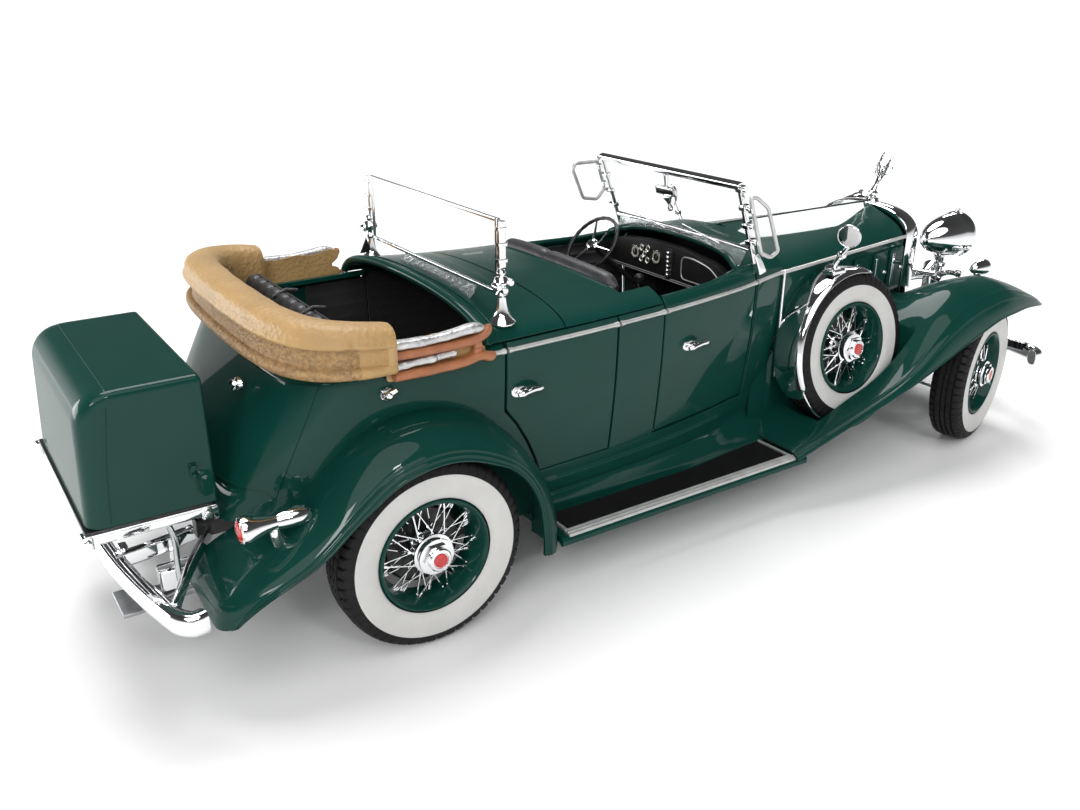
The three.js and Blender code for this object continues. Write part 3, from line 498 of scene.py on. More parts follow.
def add_sun(name, azimuth, elevation, strength, spread):
    """A far light with a soft disc; azimuth 0 is straight behind the car as the camera sees it, along +Y."""
    light = bpy.data.lights.new(name, "SUN")
    light.energy = strength
    light.angle = math.radians(spread)
    a, e = math.radians(azimuth), math.radians(elevation)
    lamp = bpy.data.objects.new(name, light)
    towards = Vector((math.sin(a) * math.cos(e), math.cos(a) * math.cos(e), math.sin(e)))
    lamp.rotation_euler = towards.to_track_quat("Z", "Y").to_euler()
    scene.collection.objects.link(lamp)


def set_world():
    """White where it is seen directly; for light and reflections, a bright horizon under a dark ceiling."""
    world = bpy.data.worlds.new("studio")
    scene.world = world
    world.use_nodes = True
    tree = world.node_tree
    tree.nodes.clear()
    where = tree.nodes.new("ShaderNodeTexCoord")
    parts = tree.nodes.new("ShaderNodeSeparateXYZ")
    ramp = tree.nodes.new("ShaderNodeValToRGB")
    tree.links.new(where.outputs["Generated"], parts.inputs[0])
    tree.links.new(parts.outputs["Z"], ramp.inputs["Fac"])
    stops = ((0.0, 0.92), (0.12, 0.74), (0.26, 0.08), (1.0, 0.04))
    elements = ramp.color_ramp.elements
    while len(elements) < len(stops):
        elements.new(0.5)
    for element, (place, level_in) in zip(elements, stops):
        element.position = place
        element.color = (level_in, level_in, level_in, 1)
    studio = tree.nodes.new("ShaderNodeBackground")
    tree.links.new(ramp.outputs["Color"], studio.inputs["Color"])
    seen = tree.nodes.new("ShaderNodeBackground")
    seen.inputs["Color"].default_value = (1, 1, 1, 1)
    seen.inputs["Strength"].default_value = 1.3
    path = tree.nodes.new("ShaderNodeLightPath")
    blend = tree.nodes.new("ShaderNodeMixShader")
    out = tree.nodes.new("ShaderNodeOutputWorld")
    tree.links.new(path.outputs["Is Camera Ray"], blend.inputs[0])
    tree.links.new(studio.outputs[0], blend.inputs[1])
    tree.links.new(seen.outputs[0], blend.inputs[2])
    tree.links.new(blend.outputs[0], out.inputs[0])


add_floor()
set_world()
add_sun("key", 20, 64, 2.5, 36)
add_sun("fill", -150, 55, 1.6, 60)
add_softbox("left_rear", (-0.75, 0.6, 0.15), (-0.1, 0.0, 0.05), (0.7, 0.29), 4.8)
add_softbox("near_left", (-0.62, -0.5, 0.42), (0.0, 0.0, 0.04), (0.16, 0.12), 1.1)
add_softbox("near_right", (-0.12, -0.75, 0.5), (0.05, 0.0, 0.04), (0.1, 0.055), 0.8)
add_softbox("beyond_hood", (0.765, 0.45, 0.475), (0.08, -0.005, 0.076), (0.18, 0.1), 0.8)

# ---- body: one smooth form that every panel is cut from ----
BELT_Z, BOTTOM_Z, SHUT_Z = 66.0, 16.8, 68.0
SHUT_GAP = 0.35
CROWN_POWER = 2 / 2.4
# x, half-width at the belt, half-width at the sill, crown height
BODY = [(24.6, 28.6, 22, 75.8), (12, 31, 25, 75.6), (0, 33.2, 28, 74.8), (-15, 35.8, 31, 74),
        (-30, 37.8, 33, 73.8), (-46, 39.3, 34, 73.8), (-62, 40.3, 34.4, 74.4), (-85.6, 41, 34.6, 76),
        (-98, 40.6, 34.6, 76)]
BODY_X = [row[0] for row in BODY]
BODY_REST = [row[1:] for row in BODY]


def skin(x, s):
    """The body's surface: s is 0 at the right sill, 1 at its belt, 2 at the top and 4 at the left sill."""
    x, s = np.broadcast_arrays(np.asarray(x, float), np.asarray(s, float))
    belt, sill, crown = np.moveaxis(spline(BODY_X, BODY_REST, x), -1, 0)
    k = np.where(s <= 2, s, 4 - s)
    t = np.clip(k, 0, 1)
    a = np.clip(k - 1, 0, 1) * math.pi / 2
    y = np.where(k <= 1, mix(sill, belt, 1 - (1 - t) ** 2), belt * np.abs(np.cos(a)) ** CROWN_POWER)
    z = np.where(k <= 1, mix(BOTTOM_Z, BELT_Z, t), BELT_Z + (crown - BELT_Z) * np.sin(a) ** CROWN_POWER)
    return np.stack([x, np.where(s <= 2, -y, y), z], axis=-1)


def level_s(x, z):
    """The right side's s at height z."""
    crown = spline(BODY_X, [row[3] for row in BODY], x)
    rise = np.clip((z - BELT_Z) / (crown - BELT_Z), 0, 1) ** (1 / CROWN_POWER)
    return np.where(z <= BELT_Z, (z - BOTTOM_Z) / (BELT_Z - BOTTOM_Z), 1 + np.arcsin(rise) / (math.pi / 2))


def width_s(x, y):
    """The right side's s where the crown is y wide."""
    belt = spline(BODY_X, [row[1] for row in BODY], x)
    return 1 + np.arccos(np.clip(y / belt, 0, 1) ** (1 / CROWN_POWER)) / (math.pi / 2)


def body_y(x, z):
    return -skin(x, level_s(x, np.asarray(z, float)))[..., 1]


WALL = 1.3
CENTRE = (-30, 0, 45)


def front_cowl():
    """The ring between the doors and the hood, with the scuttle's rim over the dashboard."""
    rim_s, door_x, end_x = 1.29, 11.35, 24.3
    s = np.concatenate([
        np.linspace(0, 1, 16), np.linspace(1, rim_s, 6)[1:], np.linspace(rim_s, 4 - rim_s, 41)[1:],
        np.linspace(4 - rim_s, 3, 6)[1:], np.linspace(3, 4, 16)[1:],
    ])
    back = mix(4.4, 7.0, ease((1 - np.abs(s - 2) / (2 - rim_s)) * 2.2))
    x = np.stack([np.concatenate([np.linspace(b, door_x, 7), np.linspace(door_x, end_x, 9)[1:]])
                  for b in back])
    rows = skin(x, s[:, None])
    middle = (s[:-1] + s[1:]) / 2
    keep = [[c >= 6 or rim_s < v < 4 - rim_s for c in range(x.shape[1] - 1)] for v in middle]
    on_rim = (s >= rim_s - 1e-6) & (s <= 4 - rim_s + 1e-6)
    return panel(rows, WALL, (18, 0, 45), keep=keep), rows[on_rim, 0]


def deck_row(x, v, low, shut_z):
    """The skin along x at v, where v is eased so that the lowest row keeps to the height shut_z."""
    shut = level_s(x, shut_z)
    k = shut + (min(v, 4 - v) - low) * (2 - shut) / (2 - low)
    return skin(x, k if v <= 2 else 4 - k)


def rear_deck():
    """The fixed deck behind the front seat, with an arm forward to each front door."""
    back_x, arm_x, front_x = -61.85, -39.4, -29.05
    count = 57
    columns_back, columns_arm = 14, 8
    inner_y = 31.0
    rows, flags = [], []
    shut_z = SHUT_Z + SHUT_GAP / 2
    low = level_s(back_x, shut_z)
    s = np.concatenate([np.linspace(low, 1.36, 12), np.linspace(1.36, 2.64, count)[1:-1],
                        np.linspace(2.64, 4 - low, 12)])
    for v in s:
        y_here = abs(skin(-40.0, v)[1])
        edge = mix(-42.0, arm_x, min(1, (y_here / inner_y) ** 2))
        x = np.concatenate([np.linspace(back_x, edge, columns_back),
                            np.linspace(edge, front_x, columns_arm)[1:]])
        rows.append(deck_row(x, v, low, shut_z))
        flags.append(y_here > inner_y)
    keep = [[c < columns_back - 1 or (flags[r] and flags[r + 1])
             for c in range(columns_back + columns_arm - 2)] for r in range(len(s) - 1)]
    return panel(rows, WALL, CENTRE, keep=keep)


def side_panel(x0, x1, z0, z1, nx, nz, side):
    x = np.linspace(x0, x1, nx)[None, :]
    z = np.linspace(z0, z1, nz)[:, None] + 0 * x
    return sided(panel(skin(x, level_s(x + 0 * z, z)), WALL, CENTRE), -side)


REAR_DOOR_EDGE = [(30, -68.4), (33.5, -69.6), (40, -72.8), (46.2, -76.6), (50.5, -80), (68, -80)]


def rear_edge_x(z, gap):
    """The rear door's rear edge, which follows the fender."""
    zs, xs = [p[0] for p in REAR_DOOR_EDGE], [p[1] for p in REAR_DOOR_EDGE]
    return np.interp(z, zs, xs) + gap


def rear_door_panel(side):
    z = np.linspace(30 + SHUT_GAP, SHUT_Z - SHUT_GAP / 2, 34)
    u = np.linspace(0, 1, 24)
    x = np.stack([mix(-45.65, rear_edge_x(h, SHUT_GAP), u) for h in z])
    return sided(panel(skin(x, level_s(x, z[:, None] + 0 * x)), WALL, CENTRE), -side)


def door_top_s(x):
    return 1 + mix(20.0, 25.2, ease((x + 10) / 14)) / 90


def front_door_panel(side):
    x = np.linspace(-28.35, 10.65, 30)[None, :]
    v = np.linspace(0, 1, 40)[:, None]
    low = (30.5 + SHUT_GAP - BOTTOM_Z) / (BELT_Z - BOTTOM_Z)
    rows = skin(x + 0 * v, mix(low, door_top_s(x), v))
    return sided(panel(rows, WALL, CENTRE), -side), rows[-1] * (1, -side, 1)


TAIL = [(33.5, -148.2), (35.5, -146.9), (39, -145.2), (50, -139.6), (60, -134), (66, -130.6)]
TAIL_START = -98.0


def tail_point(t, turn_angle):
    """The body's rear: t is the height, and turn_angle goes from the side (0) to the middle (90)."""
    t, phi = np.broadcast_arrays(np.asarray(t, float), np.radians(np.asarray(turn_angle, float)))
    low = mix(BOTTOM_Z, 33.5, ease(np.degrees(phi) / 50))
    z = mix(low, BELT_Z - 1.2 * ease(np.degrees(phi) / 70), t)
    side_y = mix(34.6, 40.6, 1 - (1 - t) ** 2)
    reach = spline([p[0] for p in TAIL], [p[1] for p in TAIL], np.maximum(z, 33.5)) - TAIL_START
    x = TAIL_START + reach * np.sin(phi) ** (2 / 4.4)
    return np.stack([x, side_y * np.abs(np.cos(phi)) ** (2 / 4.4), z], axis=-1)


def rear_body():
    """The rear quarters and the sloping tail in one sheet, rolled over at the belt."""
    t = np.concatenate([np.linspace(0, 0.08, 4), np.linspace(0.08, 1, 30)[1:]])
    turns = ease(np.linspace(0, 1, 40))[1:] * 90
    rows = []
    for v in t:
        z = mix(BOTTOM_Z, BELT_Z, v)
        edge = rear_edge_x(z, -SHUT_GAP) if z > 30 else -68.05
        x = np.linspace(edge, TAIL_START, 14)
        flank = skin(x, np.full(14, 4 - v))
        rows.append(np.vstack([flank, tail_point(np.full(len(turns), v), turns)]))
    half = np.array(rows)
    belt = half[-1]
    along = np.gradient(belt[:, :2], axis=0)
    inward = np.stack([along[:, 1], -along[:, 0]], axis=1)
    inward /= np.linalg.norm(inward, axis=1, keepdims=True)
    inward *= np.sign(np.sum(inward * (np.array([-98.0, 0]) - belt[:, :2]), axis=1, keepdims=True))
    inward[:13] = (0, -1)
    inward[-1] = (1, 0)
    roll = [(0.35, 0.7), (1.1, 1.3), (2.3, 1.65), (4.0, 1.75)]
    extra = [np.column_stack([belt[:, :2] + inward * d, belt[:, 2] + up]) for d, up in roll]
    half = np.concatenate([half, np.array(extra)])
    return panel(both_halves(half), WALL, (-112, 0, 50))


def both_halves(half):
    """The left half's grid, carried on over the middle to the right."""
    return np.concatenate([half, half[:, :-1][:, ::-1] * (1, -1, 1)], axis=1)


def tail_hatch():
    """A thin raised lid on the sloping tail."""
    t = np.linspace(0.26, 1.0, 20)[:, None]
    phi = np.linspace(38, 90, 30)[None, :]
    return panel(both_halves(tail_point(t, phi)), 0.5, (-112, 0, 50), raised=0.35)


def tonneau_panel():
    shut_z = SHUT_Z + SHUT_GAP / 2 + 0.1
    low = level_s(-74.0, shut_z)
    flank = np.linspace(low, 1.3, 9)
    s = np.concatenate([flank, np.linspace(1.3, 2.7, 50)[1:-1], (4 - flank)[::-1]])
    x = np.linspace(-85.3, -62.3, 20)
    rows = np.array([deck_row(x, v, low, shut_z) for v in s])
    return panel(rows, WALL, (-74, 0, 50)), rows


def apron(side):
    """The splash apron: the body's foot swept out to the running board, with two moulded steps."""
    x = np.linspace(-70, 22, 60)[None, :]
    v = np.linspace(0, 1, 24)[:, None]
    z = mix(30.1, 15.6, v)
    body = body_y(x + 0 * v, np.maximum(z, BOTTOM_Z) + 0 * x)
    foot = mix(34.8, 31.5, ease((x + 20) / 40))
    y = body + 0.15 + ease((v - 0.35) / 0.65) ** 1.6 * np.maximum(foot + 1.5 - body, 0.8)
    steps = 0.55 * (ease((v - 0.22) / 0.05) - ease((v - 0.5) / 0.06) + ease((v - 0.56) / 0.05)
                    - ease((v - 0.84) / 0.08))
    fade = ease((x + 68) / 8) * ease((8 - x) / 10)
    rows = np.stack([x + 0 * v, y + steps * fade, z + 0 * x], axis=-1)
    return sided(panel(rows, 0.8, (-25, 0, 24)), side)


body_shell = Piece("body_panels", "car_body", "green_paint", ("body_shell",), edge=0.16)
cowl_form, scuttle_rim = front_cowl()
body_shell.add(cowl_form, GREEN)
body_shell.add(rear_deck(), GREEN)
body_shell.add(rear_body(), GREEN)
body_shell.add(tail_hatch(), GREEN)
for side in (-1, 1):
    body_shell.add(side_panel(-45.0, -29.05, 29.9, SHUT_Z - SHUT_GAP / 2, 10, 30, side), GREEN)
    body_shell.add(side_panel(-69.4, 11.35, 16.8, 29.9, 50, 8, side), GREEN)
    body_shell.add(apron(side), GREEN)
body_shell.add(tube(scuttle_rim + (-0.1, 0, -0.2), 0.95, 10), GREEN)
body_shell.done()

for hand, side in SIDES:
    door_form, door_top = front_door_panel(side)
    door = Piece(f"front_door_skin_{hand}", f"front_door_{hand}_body", "green_paint",
                 (f"front_door_{hand}",), edge=0.16)
    door.add(door_form, GREEN).add(tube(door_top + (0, -side * 0.5, -0.3), 0.8, 10), GREEN).done()
    Piece(f"rear_door_skin_{hand}", f"rear_door_{hand}_body", "green_paint", (f"rear_door_{hand}",),
          edge=0.16).add(rear_door_panel(side), GREEN).done()

tonneau_form, tonneau_rows = tonneau_panel()
cowl = Piece("tonneau_cowl_skin", "tonneau_cowl_body", "green_paint", ("tonneau_cowl",), edge=0.16)
cowl.add(tonneau_form, GREEN)
cowl.add(tube(tonneau_rows[:, 0] + (0.5, 0, -0.35), 1.15, 12), GREEN)
cowl.add(tube(tonneau_rows[:, 3], 0.35, 8), GREEN)
cowl.done()

# ---- fenders and running boards ----
# x, inner (y, z), crown (y, z), edge (y, z)
FRONT_FENDER = [(16.5, 27, 17.4, 43, 17.6, 49, 15.2), (28, 27, 22.5, 44, 21.0, 50.5, 19.6),
                (40, 27, 31, 44, 25.2, 51.6, 23.6), (52, 26, 39, 44, 29.4, 52.2, 27.3),
                (60, 25.4, 43, 44, 33, 52.4, 29.6), (66, 24.6, 45.5, 43.6, 37.4, 52.6, 31.6),
                (73, 24, 47.4, 42.6, 44, 52.7, 34.2), (80, 23.6, 48.5, 41, 50, 52.8, 36.8),
                (94, 23.4, 48.8, 39.2, 55.6, 52.8, 41.8), (108, 24.5, 46.8, 38.5, 55.6, 52.3, 45.2),
                (120, 26.5, 43, 38.6, 52.6, 50.5, 45.2), (130, 29.5, 40.5, 39, 48.7, 48.4, 44),
                (137, 33.5, 39.8, 40, 45.2, 46.6, 42.8), (141, 38.0, 40.9, 41.4, 42.8, 44.6, 41.6)]
WELL_X, WELL_Z, WELL_R, WELL_Y = 47.1, 41.3, 24.9, (29.6, 42.7)
# degrees about the rear axle from straight ahead, crown radius, edge radius, inner y, edge y
REAR_FENDER = [(-18, 39.4, 31.4, 35, 50.4), (0, 36.4, 28.6, 35, 51.6), (16, 34.4, 27.9, 35, 52.2),
               (36, 33, 26.9, 35, 52.6), (58, 33, 24.8, 35, 52.8), (82, 32.6, 24, 35, 52.8),
               (106, 32.4, 23.4, 35, 52.8), (128, 31, 23.4, 34, 52.8), (146, 30.6, 25, 31, 52.8),
               (160, 33.6, 27.6, 27, 52.6), (170, 39.5, 32.4, 24, 52), (176, 46, 38.5, 22.6, 50.8),
               (181, 49.6, 42.6, 22.4, 49.2), (186, 49.2, 45.4, 23, 46)]
AXLE_X, AXLE_Z = 105.15, 23.6


def smoothed(rows, times):
    """Evens the flow along the rows, with both ends kept."""
    for _ in range(times):
        rows[1:-1] = 0.5 * rows[1:-1] + 0.25 * (rows[:-2] + rows[2:])
    return rows


def fender_section(inner, crown, edge, beads, deep, wide):
    """Across a fender from inside to the outer edge: (across, height) for each station."""
    t = np.concatenate([np.linspace(0, 0.88, 13), np.linspace(0.88, 1, 9)[1:-1]])[None, :]
    across = mix(inner[0][:, None], crown[0][:, None], t)
    height = inner[1][:, None] + (crown[1] - inner[1])[:, None] * np.sin(t * math.pi / 2)
    a = np.linspace(0, math.pi / 2, 60)[None, :]
    out = crown[0][:, None] + (edge[0] - crown[0])[:, None] * np.sin(a)
    down = edge[1][:, None] + (crown[1] - edge[1])[:, None] * np.cos(a)
    ripple = deep * sum(np.exp(-(((a - c) / wide) ** 2)) for c in beads)
    return np.hstack([across, out + ripple * np.sin(a)]), np.hstack([height, down + ripple * np.cos(a)])


def front_stations():
    x = np.linspace(16.5, 141, 120)
    return x, smoothed(spline([r[0] for r in FRONT_FENDER], [r[1:] for r in FRONT_FENDER], x), 14)


def front_fender(side):
    """The sweep from the running board over the wheel, sunk round the spare tyre."""
    x, v = front_stations()
    y, z = fender_section((v[:, 0], v[:, 1]), (v[:, 2], v[:, 3]), (v[:, 4], v[:, 5]), (0.78, 1.02), 0.2,
                          0.05)
    reach = np.clip(WELL_R**2 - (x - WELL_X) ** 2, 0, None)[:, None]
    sunk = np.where(reach > 0, np.minimum(z, WELL_Z - np.sqrt(reach)), z)
    z = mix(z, sunk, ease((y - WELL_Y[0]) / 0.8) * ease((WELL_Y[1] - y) / 0.5))
    rows = np.stack([np.repeat(x[:, None], y.shape[1], axis=1), y, z], axis=-1)
    lip = tube(rows[:, -1] + (0, -0.35, 0.1), 0.55, 8)
    return sided(panel(rows, 0.9, (80, 20, 0)), side), sided(lip, side)


def inner_apron(side):
    """The valance from the fender's inner edge up to the foot of the hood side."""
    x, v = front_stations()
    kept = x < 93.5
    x, low_y, low_z = x[kept], v[kept, 0] + 0.4, v[kept, 1] - 0.4
    high_z = np.interp(x, (16, 24.6, 26), (33, 40, 47.2))
    high_y = np.where(x < 24.6, body_y(np.minimum(x, 24.6), high_z),
                      np.interp(x, (24.6, 93.5), (28.5, 18.2)) - 0.6) - 0.4
    t = np.linspace(0, 1, 8)[None, :]
    rows = np.stack([x[:, None] + 0 * t, mix(low_y[:, None], high_y[:, None], t),
                     mix(low_z[:, None], high_z[:, None], t)], axis=-1)
    return sided(panel(rows, 0.6, (60, 0, 30)), side)


def rear_fender(side):
    degrees = np.linspace(-18, 186, 114)
    v = smoothed(spline([r[0] for r in REAR_FENDER], [r[1:] for r in REAR_FENDER], degrees), 8)
    a = np.radians(degrees)[:, None]
    crown_y = np.full(len(degrees), 42.0)
    y, r = fender_section((v[:, 2], v[:, 0] - 0.6), (crown_y, v[:, 0]), (v[:, 3], v[:, 1]),
                          (1.24, 1.38, 1.53), 0.34, 0.035)
    rows = np.stack([-AXLE_X + r * np.cos(a), y, AXLE_Z + r * np.sin(a)], axis=-1)
    return sided(panel(rows, 0.9, (-AXLE_X, 30, AXLE_Z)), side)


for hand, side in SIDES:
    fender = Piece(f"front_fender_sweep_{hand}", "car_body", "green_paint", (f"front_fender_{hand}",),
                   edge=0.12)
    skin_form, lip_form = front_fender(side)
    fender.add(skin_form, GREEN).add(lip_form, GREEN).add(inner_apron(side), GREEN)
    fender.done()
    Piece(f"rear_fender_arch_{hand}", "car_body", "green_paint", (f"rear_fender_{hand}",),
          edge=0.12).add(rear_fender(side), GREEN).done()

BOARD = (-66.6, 17.4)


def board_base():
    outline = [(25, 13.4), (25, 15.2), (46.6, 15.2), (47.8, 14.9), (48.3, 14.1), (48.2, 12.9),
               (47.5, 12.6), (46.8, 13.4)]
    return prism(outline, BOARD[0] - 1.5, BOARD[1] + 4, "x")


def board_mat():
    ribs = 17
    y = np.linspace(33.2, 45.2, ribs * 4 + 1)
    z = 15.55 + 0.3 * (np.arange(len(y)) % 4 > 1)
    outline = [(33.2, 15.0)] + list(zip(y, z)) + [(45.2, 15.0)]
    return prism(outline, BOARD[0] + 1.6, BOARD[1] - 2.2, "x")


def board_trim():
    outline = [(45.3, 15.0), (45.3, 15.9), (45.8, 16.05), (46.1, 15.75), (46.5, 16.1), (47.1, 16.05),
               (47.35, 15.7), (47.9, 15.7), (48.2, 15.0)]
    return prism(outline, BOARD[0] + 0.8, BOARD[1] - 0.8, "x")


for hand, side in SIDES:
    board = Piece(f"running_board_step_{hand}", "car_body", "ribbed_rubber", (f"running_board_{hand}",),
                  edge=0.12)
    board.add(sided(board_base(), side), GREEN)
    board.add(sided(board_mat(), side), MAT)
    board.add(sided(board_trim(), side), SATIN)
    for x in (BOARD[0] + 1.0, BOARD[1] - 1.8):
        board.add(sided(bar(x, x + 0.8, 32.8, 46.0, 15.0, 16.0, 0.2), side), SATIN)
    board.done()

# ---- wheels: drawn about the hub, with the outer face towards +Y ----
TYRE_R, SEAT_R = 23.55, 14.1
TREAD_STEPS, BLOCK_STEPS = 330, 6
REAR_HUB_Y, KINGPIN_Y, HUB_FROM_KINGPIN = 45.4, 39.7, 3.7
STEER_REST = 15.6
SPARE_AT, SPARE_LEAN = (47.1, 34.6, 41.3), 6.4


def tyre():
    """A blocked shoulder, a ribbed tread and a raised white band on the outer wall."""
    wall = [(SEAT_R, 4.1), (14.5, 4.75), (15.2, 5.02), (17.2, 5.2), (19.6, 5.3), (20.5, 5.32)]
    shoulder = [(21.3, 5.22), (22.2, 4.98), (22.9, 4.5), (23.3, 3.8), (23.45, 3.05)]
    ribs = [(22.85, 2.95), (22.85, 2.5), (TYRE_R, 2.4), (TYRE_R, 1.1), (22.95, 1.0), (22.95, 0.6),
            (TYRE_R, 0.5)]
    half = np.array(wall + shoulder + ribs)
    profile = np.vstack([half * (1, -1), half[::-1]])
    band = (profile[:, 1] > 4.8) & (profile[:, 0] > 14.8) & (profile[:, 0] < 20.52)
    profile[band, 1] += 0.22

    def blocks(step, row):
        radius, across = profile[row, 0], np.abs(profile[row, 1])
        notch = (step % BLOCK_STEPS == 0) & (radius > 21.2) & (across > 2.99)
        sipe = (step % BLOCK_STEPS == 3) & (radius > 23.4) & (across < 2.45)
        return -0.62 * notch - 0.22 * sipe

    return turned(profile, TREAD_STEPS, blocks)


TYRE = tyre()
TYRE_FACES = np.array([TYRE[0][list(face)].mean(axis=0) for face in TYRE[1]])


def white_band(_, limit=20.5):
    """The white faces of a tyre, wherever it has been moved to."""
    radius = np.hypot(TYRE_FACES[:, 0], TYRE_FACES[:, 2])
    return (TYRE_FACES[:, 1] > 4.95) & (radius > 14.6) & (radius < limit), WHITE


def rim():
    return turned([(14.25, 4.5), (13.95, 5.0), (13.5, 5.1), (13.1, 4.7), (12.75, 3.6), (12.3, 2.2),
                   (11.9, 1.0), (11.7, -0.4), (11.7, -2.6), (12.6, -3.4), (13.7, -4.2), (14.2, -4.2),
                   (13.2, -3.0), (12.5, -1.5), (12.6, 0.8), (13.2, 2.6)], 96)


def wire(start, end, radius=0.2):
    return tube(np.linspace(start, end, 3), radius, 6)


def laced(hub_r, hub_y, rim_r, rim_y, first, spread, count=10):
    """Wire spokes that meet in pairs at the rim."""
    forms = []
    for i in range(count):
        foot = math.radians(first + i * 360 / count)
        for way in (-1, 1):
            a = foot + way * math.radians(spread)
            b = foot + way * 0.035
            end = np.array((rim_r * math.cos(b), rim_y, rim_r * math.sin(b)))
            start = np.array((hub_r * math.cos(a), hub_y, hub_r * math.sin(a)))
            forms.append(wire(start, end))
            along = (start - end) / np.linalg.norm(start - end)
            forms.append(tube(np.array([end - along * 0.2, end + along * 1.3]), 0.36, 6))
    return forms


def hexagon(across, low, high):
    points = [(across / math.sqrt(3) * math.cos(a), across / math.sqrt(3) * math.sin(a))
              for a in np.radians(np.arange(0, 360, 60))]
    return prism(points, low, high, "y")


def hub_forms():
    barrel = turned([(0, -1.6), (3.6, -1.6), (3.9, -0.9), (3.5, -0.4), (3.3, 2.2), (4.7, 2.7), (5.1, 3.1),
                     (5.0, 3.6), (4.2, 3.85), (4.15, 4.5), (4.5, 4.75), (4.45, 5.15), (3.7, 5.3),
                     (0, 5.3)], 48)
    cap = turned([(0, 6.1), (2.85, 6.1), (2.9, 6.75), (2.6, 7.1), (2.0, 7.2), (1.9, 7.05), (0, 7.0)], 40)
    badge = turned([(0, 7.0), (1.75, 7.0), (1.7, 7.25), (1.1, 7.42), (0, 7.46)], 32)
    return [(barrel, CHROME), (hexagon(6.4, 5.2, 6.2), CHROME), (cap, CHROME), (badge, ENAMEL)]


def drum():
    return turned([(0, -1.9), (9.2, -1.9), (9.7, -2.3), (9.9, -3.1), (9.5, -3.4), (10.2, -4.4), (0, -4.4)],
                  56)


def wheel_forms():
    forms = [(rim(), GREEN), (drum(), BLACK)]
    spokes = laced(4.4, 3.2, 12.2, 1.7, 0, 27) + laced(3.5, -0.7, 11.9, -0.2, 18, 31)
    return forms + [(form, CHROME) for form in spokes] + hub_forms()


def at_rear(form, side):
    return moved(sided(form, side), -AXLE_X, side * REAR_HUB_Y, AXLE_Z)


def at_front(form, side):
    turned_form = spun(moved(sided(form, side), 0, side * HUB_FROM_KINGPIN, 0), "Z", STEER_REST)
    return moved(turned_form, AXLE_X, side * KINGPIN_Y, AXLE_Z)


def at_spare(form, side):
    x, y, z = SPARE_AT
    return moved(spun(sided(form, side), "X", side * SPARE_LEAN), x, side * y, z)


for hand, side in SIDES:
    for end, place in (("rear", at_rear), ("front", at_front)):
        body = f"{end}_wheel_{hand}_body"
        Piece(f"{end}_tyre_tread_{hand}", body, "tyre_rubber",
              (f"{end}_tyre_{hand}",)).add(place(TYRE, side), RUBBER, white_band).done()
        wheel = Piece(f"{end}_wire_wheel_{hand}", body, "wheel_paint", (f"{end}_wheel_{hand}",))
        for form, finish in wheel_forms():
            wheel.add(place(form, side), finish)
        wheel.done()

    spare = Piece(f"spare_tyre_and_wheel_{hand}", "car_body", "tyre_rubber", (f"spare_wheel_{hand}",))
    spare.add(at_spare(TYRE, side), RUBBER, lambda centres: white_band(centres, 19.3))
    for form, finish in wheel_forms():
        spare.add(at_spare(form, side), finish)
    spare.done()


# ---- spare wheel covers and mirrors ----
def cover_band():
    """A bright band over the tread, from just ahead of the top round to the lower rear."""
    angles = np.radians(np.linspace(66, 212, 64))
    section = np.array([(23.3, 5.75), (23.9, 5.4), (24.4, 4.7), (24.8, 3.5), (24.95, 1.4), (24.95, -1.4),
                        (24.8, -3.5), (24.3, -4.8), (23.5, -5.5)])
    ends = np.minimum(1, np.minimum(np.arange(64), np.arange(64)[::-1]) / 5)
    rows = []
    for a, k in zip(angles, ends):
        radius = mix(24.3, section[:, 0], 0.35 + 0.65 * math.sqrt(k))
        across = section[:, 1] * (0.55 + 0.45 * math.sqrt(k))
        rows.append(np.column_stack([radius * math.cos(a), across, radius * math.sin(a)]))
    return panel(np.array(rows), 0.5, (0, 0, 0))


def well_ring():
    angles = np.radians(np.linspace(205, 330, 40))
    radius = 24.15
    return tube(np.column_stack([radius * np.cos(angles), np.full(40, 5.2), radius * np.sin(angles)]),
                0.42, 8)


def mirror_forms():
    """A clamp on the band, a short stem and a round mirror that faces the driver."""
    head = (-7.4, 8.4, 35.8)
    clamp = turned([(0, -2.0), (1.5, -2.0), (1.9, -1.2), (1.9, 1.2), (1.5, 2.0), (0, 2.0)], 20)
    strap = bar(-9.2, -3.4, -0.2, 4.6, 24.0, 24.9, 0.8)
    knuckle = turned([(0, -1.3), (0.9, -1.1), (1.35, 0), (0.9, 1.1), (0, 1.3)], 20)
    bowl = turned([(0, 1.7), (1.6, 1.5), (3.2, 0.8), (4.1, -0.1), (4.25, -0.7), (4.0, -0.95), (3.8, -0.7)],
                  48)
    face = turned([(0, -0.85), (3.85, -0.8), (3.85, -0.3), (0, -0.3)], 48)
    stem = taper([(-6.4, 2.2, 24.6), (-6.9, 3.0, 27), (-7.2, 5.6, 30.0), (-7.2, 7.9, 32.6)], 12, 1.0, 0.7,
                 10)
    head_size, head_turn, head_tilt = 0.84, -112, -12
    tilted = [(spun(spun(scaled(form, head_size), "Z", head_turn), "Y", head_tilt), finish)
              for form, finish in ((bowl, CHROME), (face, MIRROR))]
    return [(moved(clamp, -6.2, 1.4, 24.7), CHROME), (strap, CHROME),
            (moved(knuckle, -7.1, 5.4, 29.8), CHROME), (stem, CHROME)] + [(moved(form, *head), finish)
            for form, finish in tilted]


for hand, side in SIDES:
    cover = Piece(f"spare_cover_band_{hand}", "car_body", "chrome", (f"spare_cover_{hand}",), edge=0.1)
    cover.add(at_spare(cover_band(), side), CHROME)
    cover.add(at_spare(well_ring(), side), CHROME)
    for form, finish in mirror_forms():
        cover.add(at_spare(form, side), finish)
    cover.done()


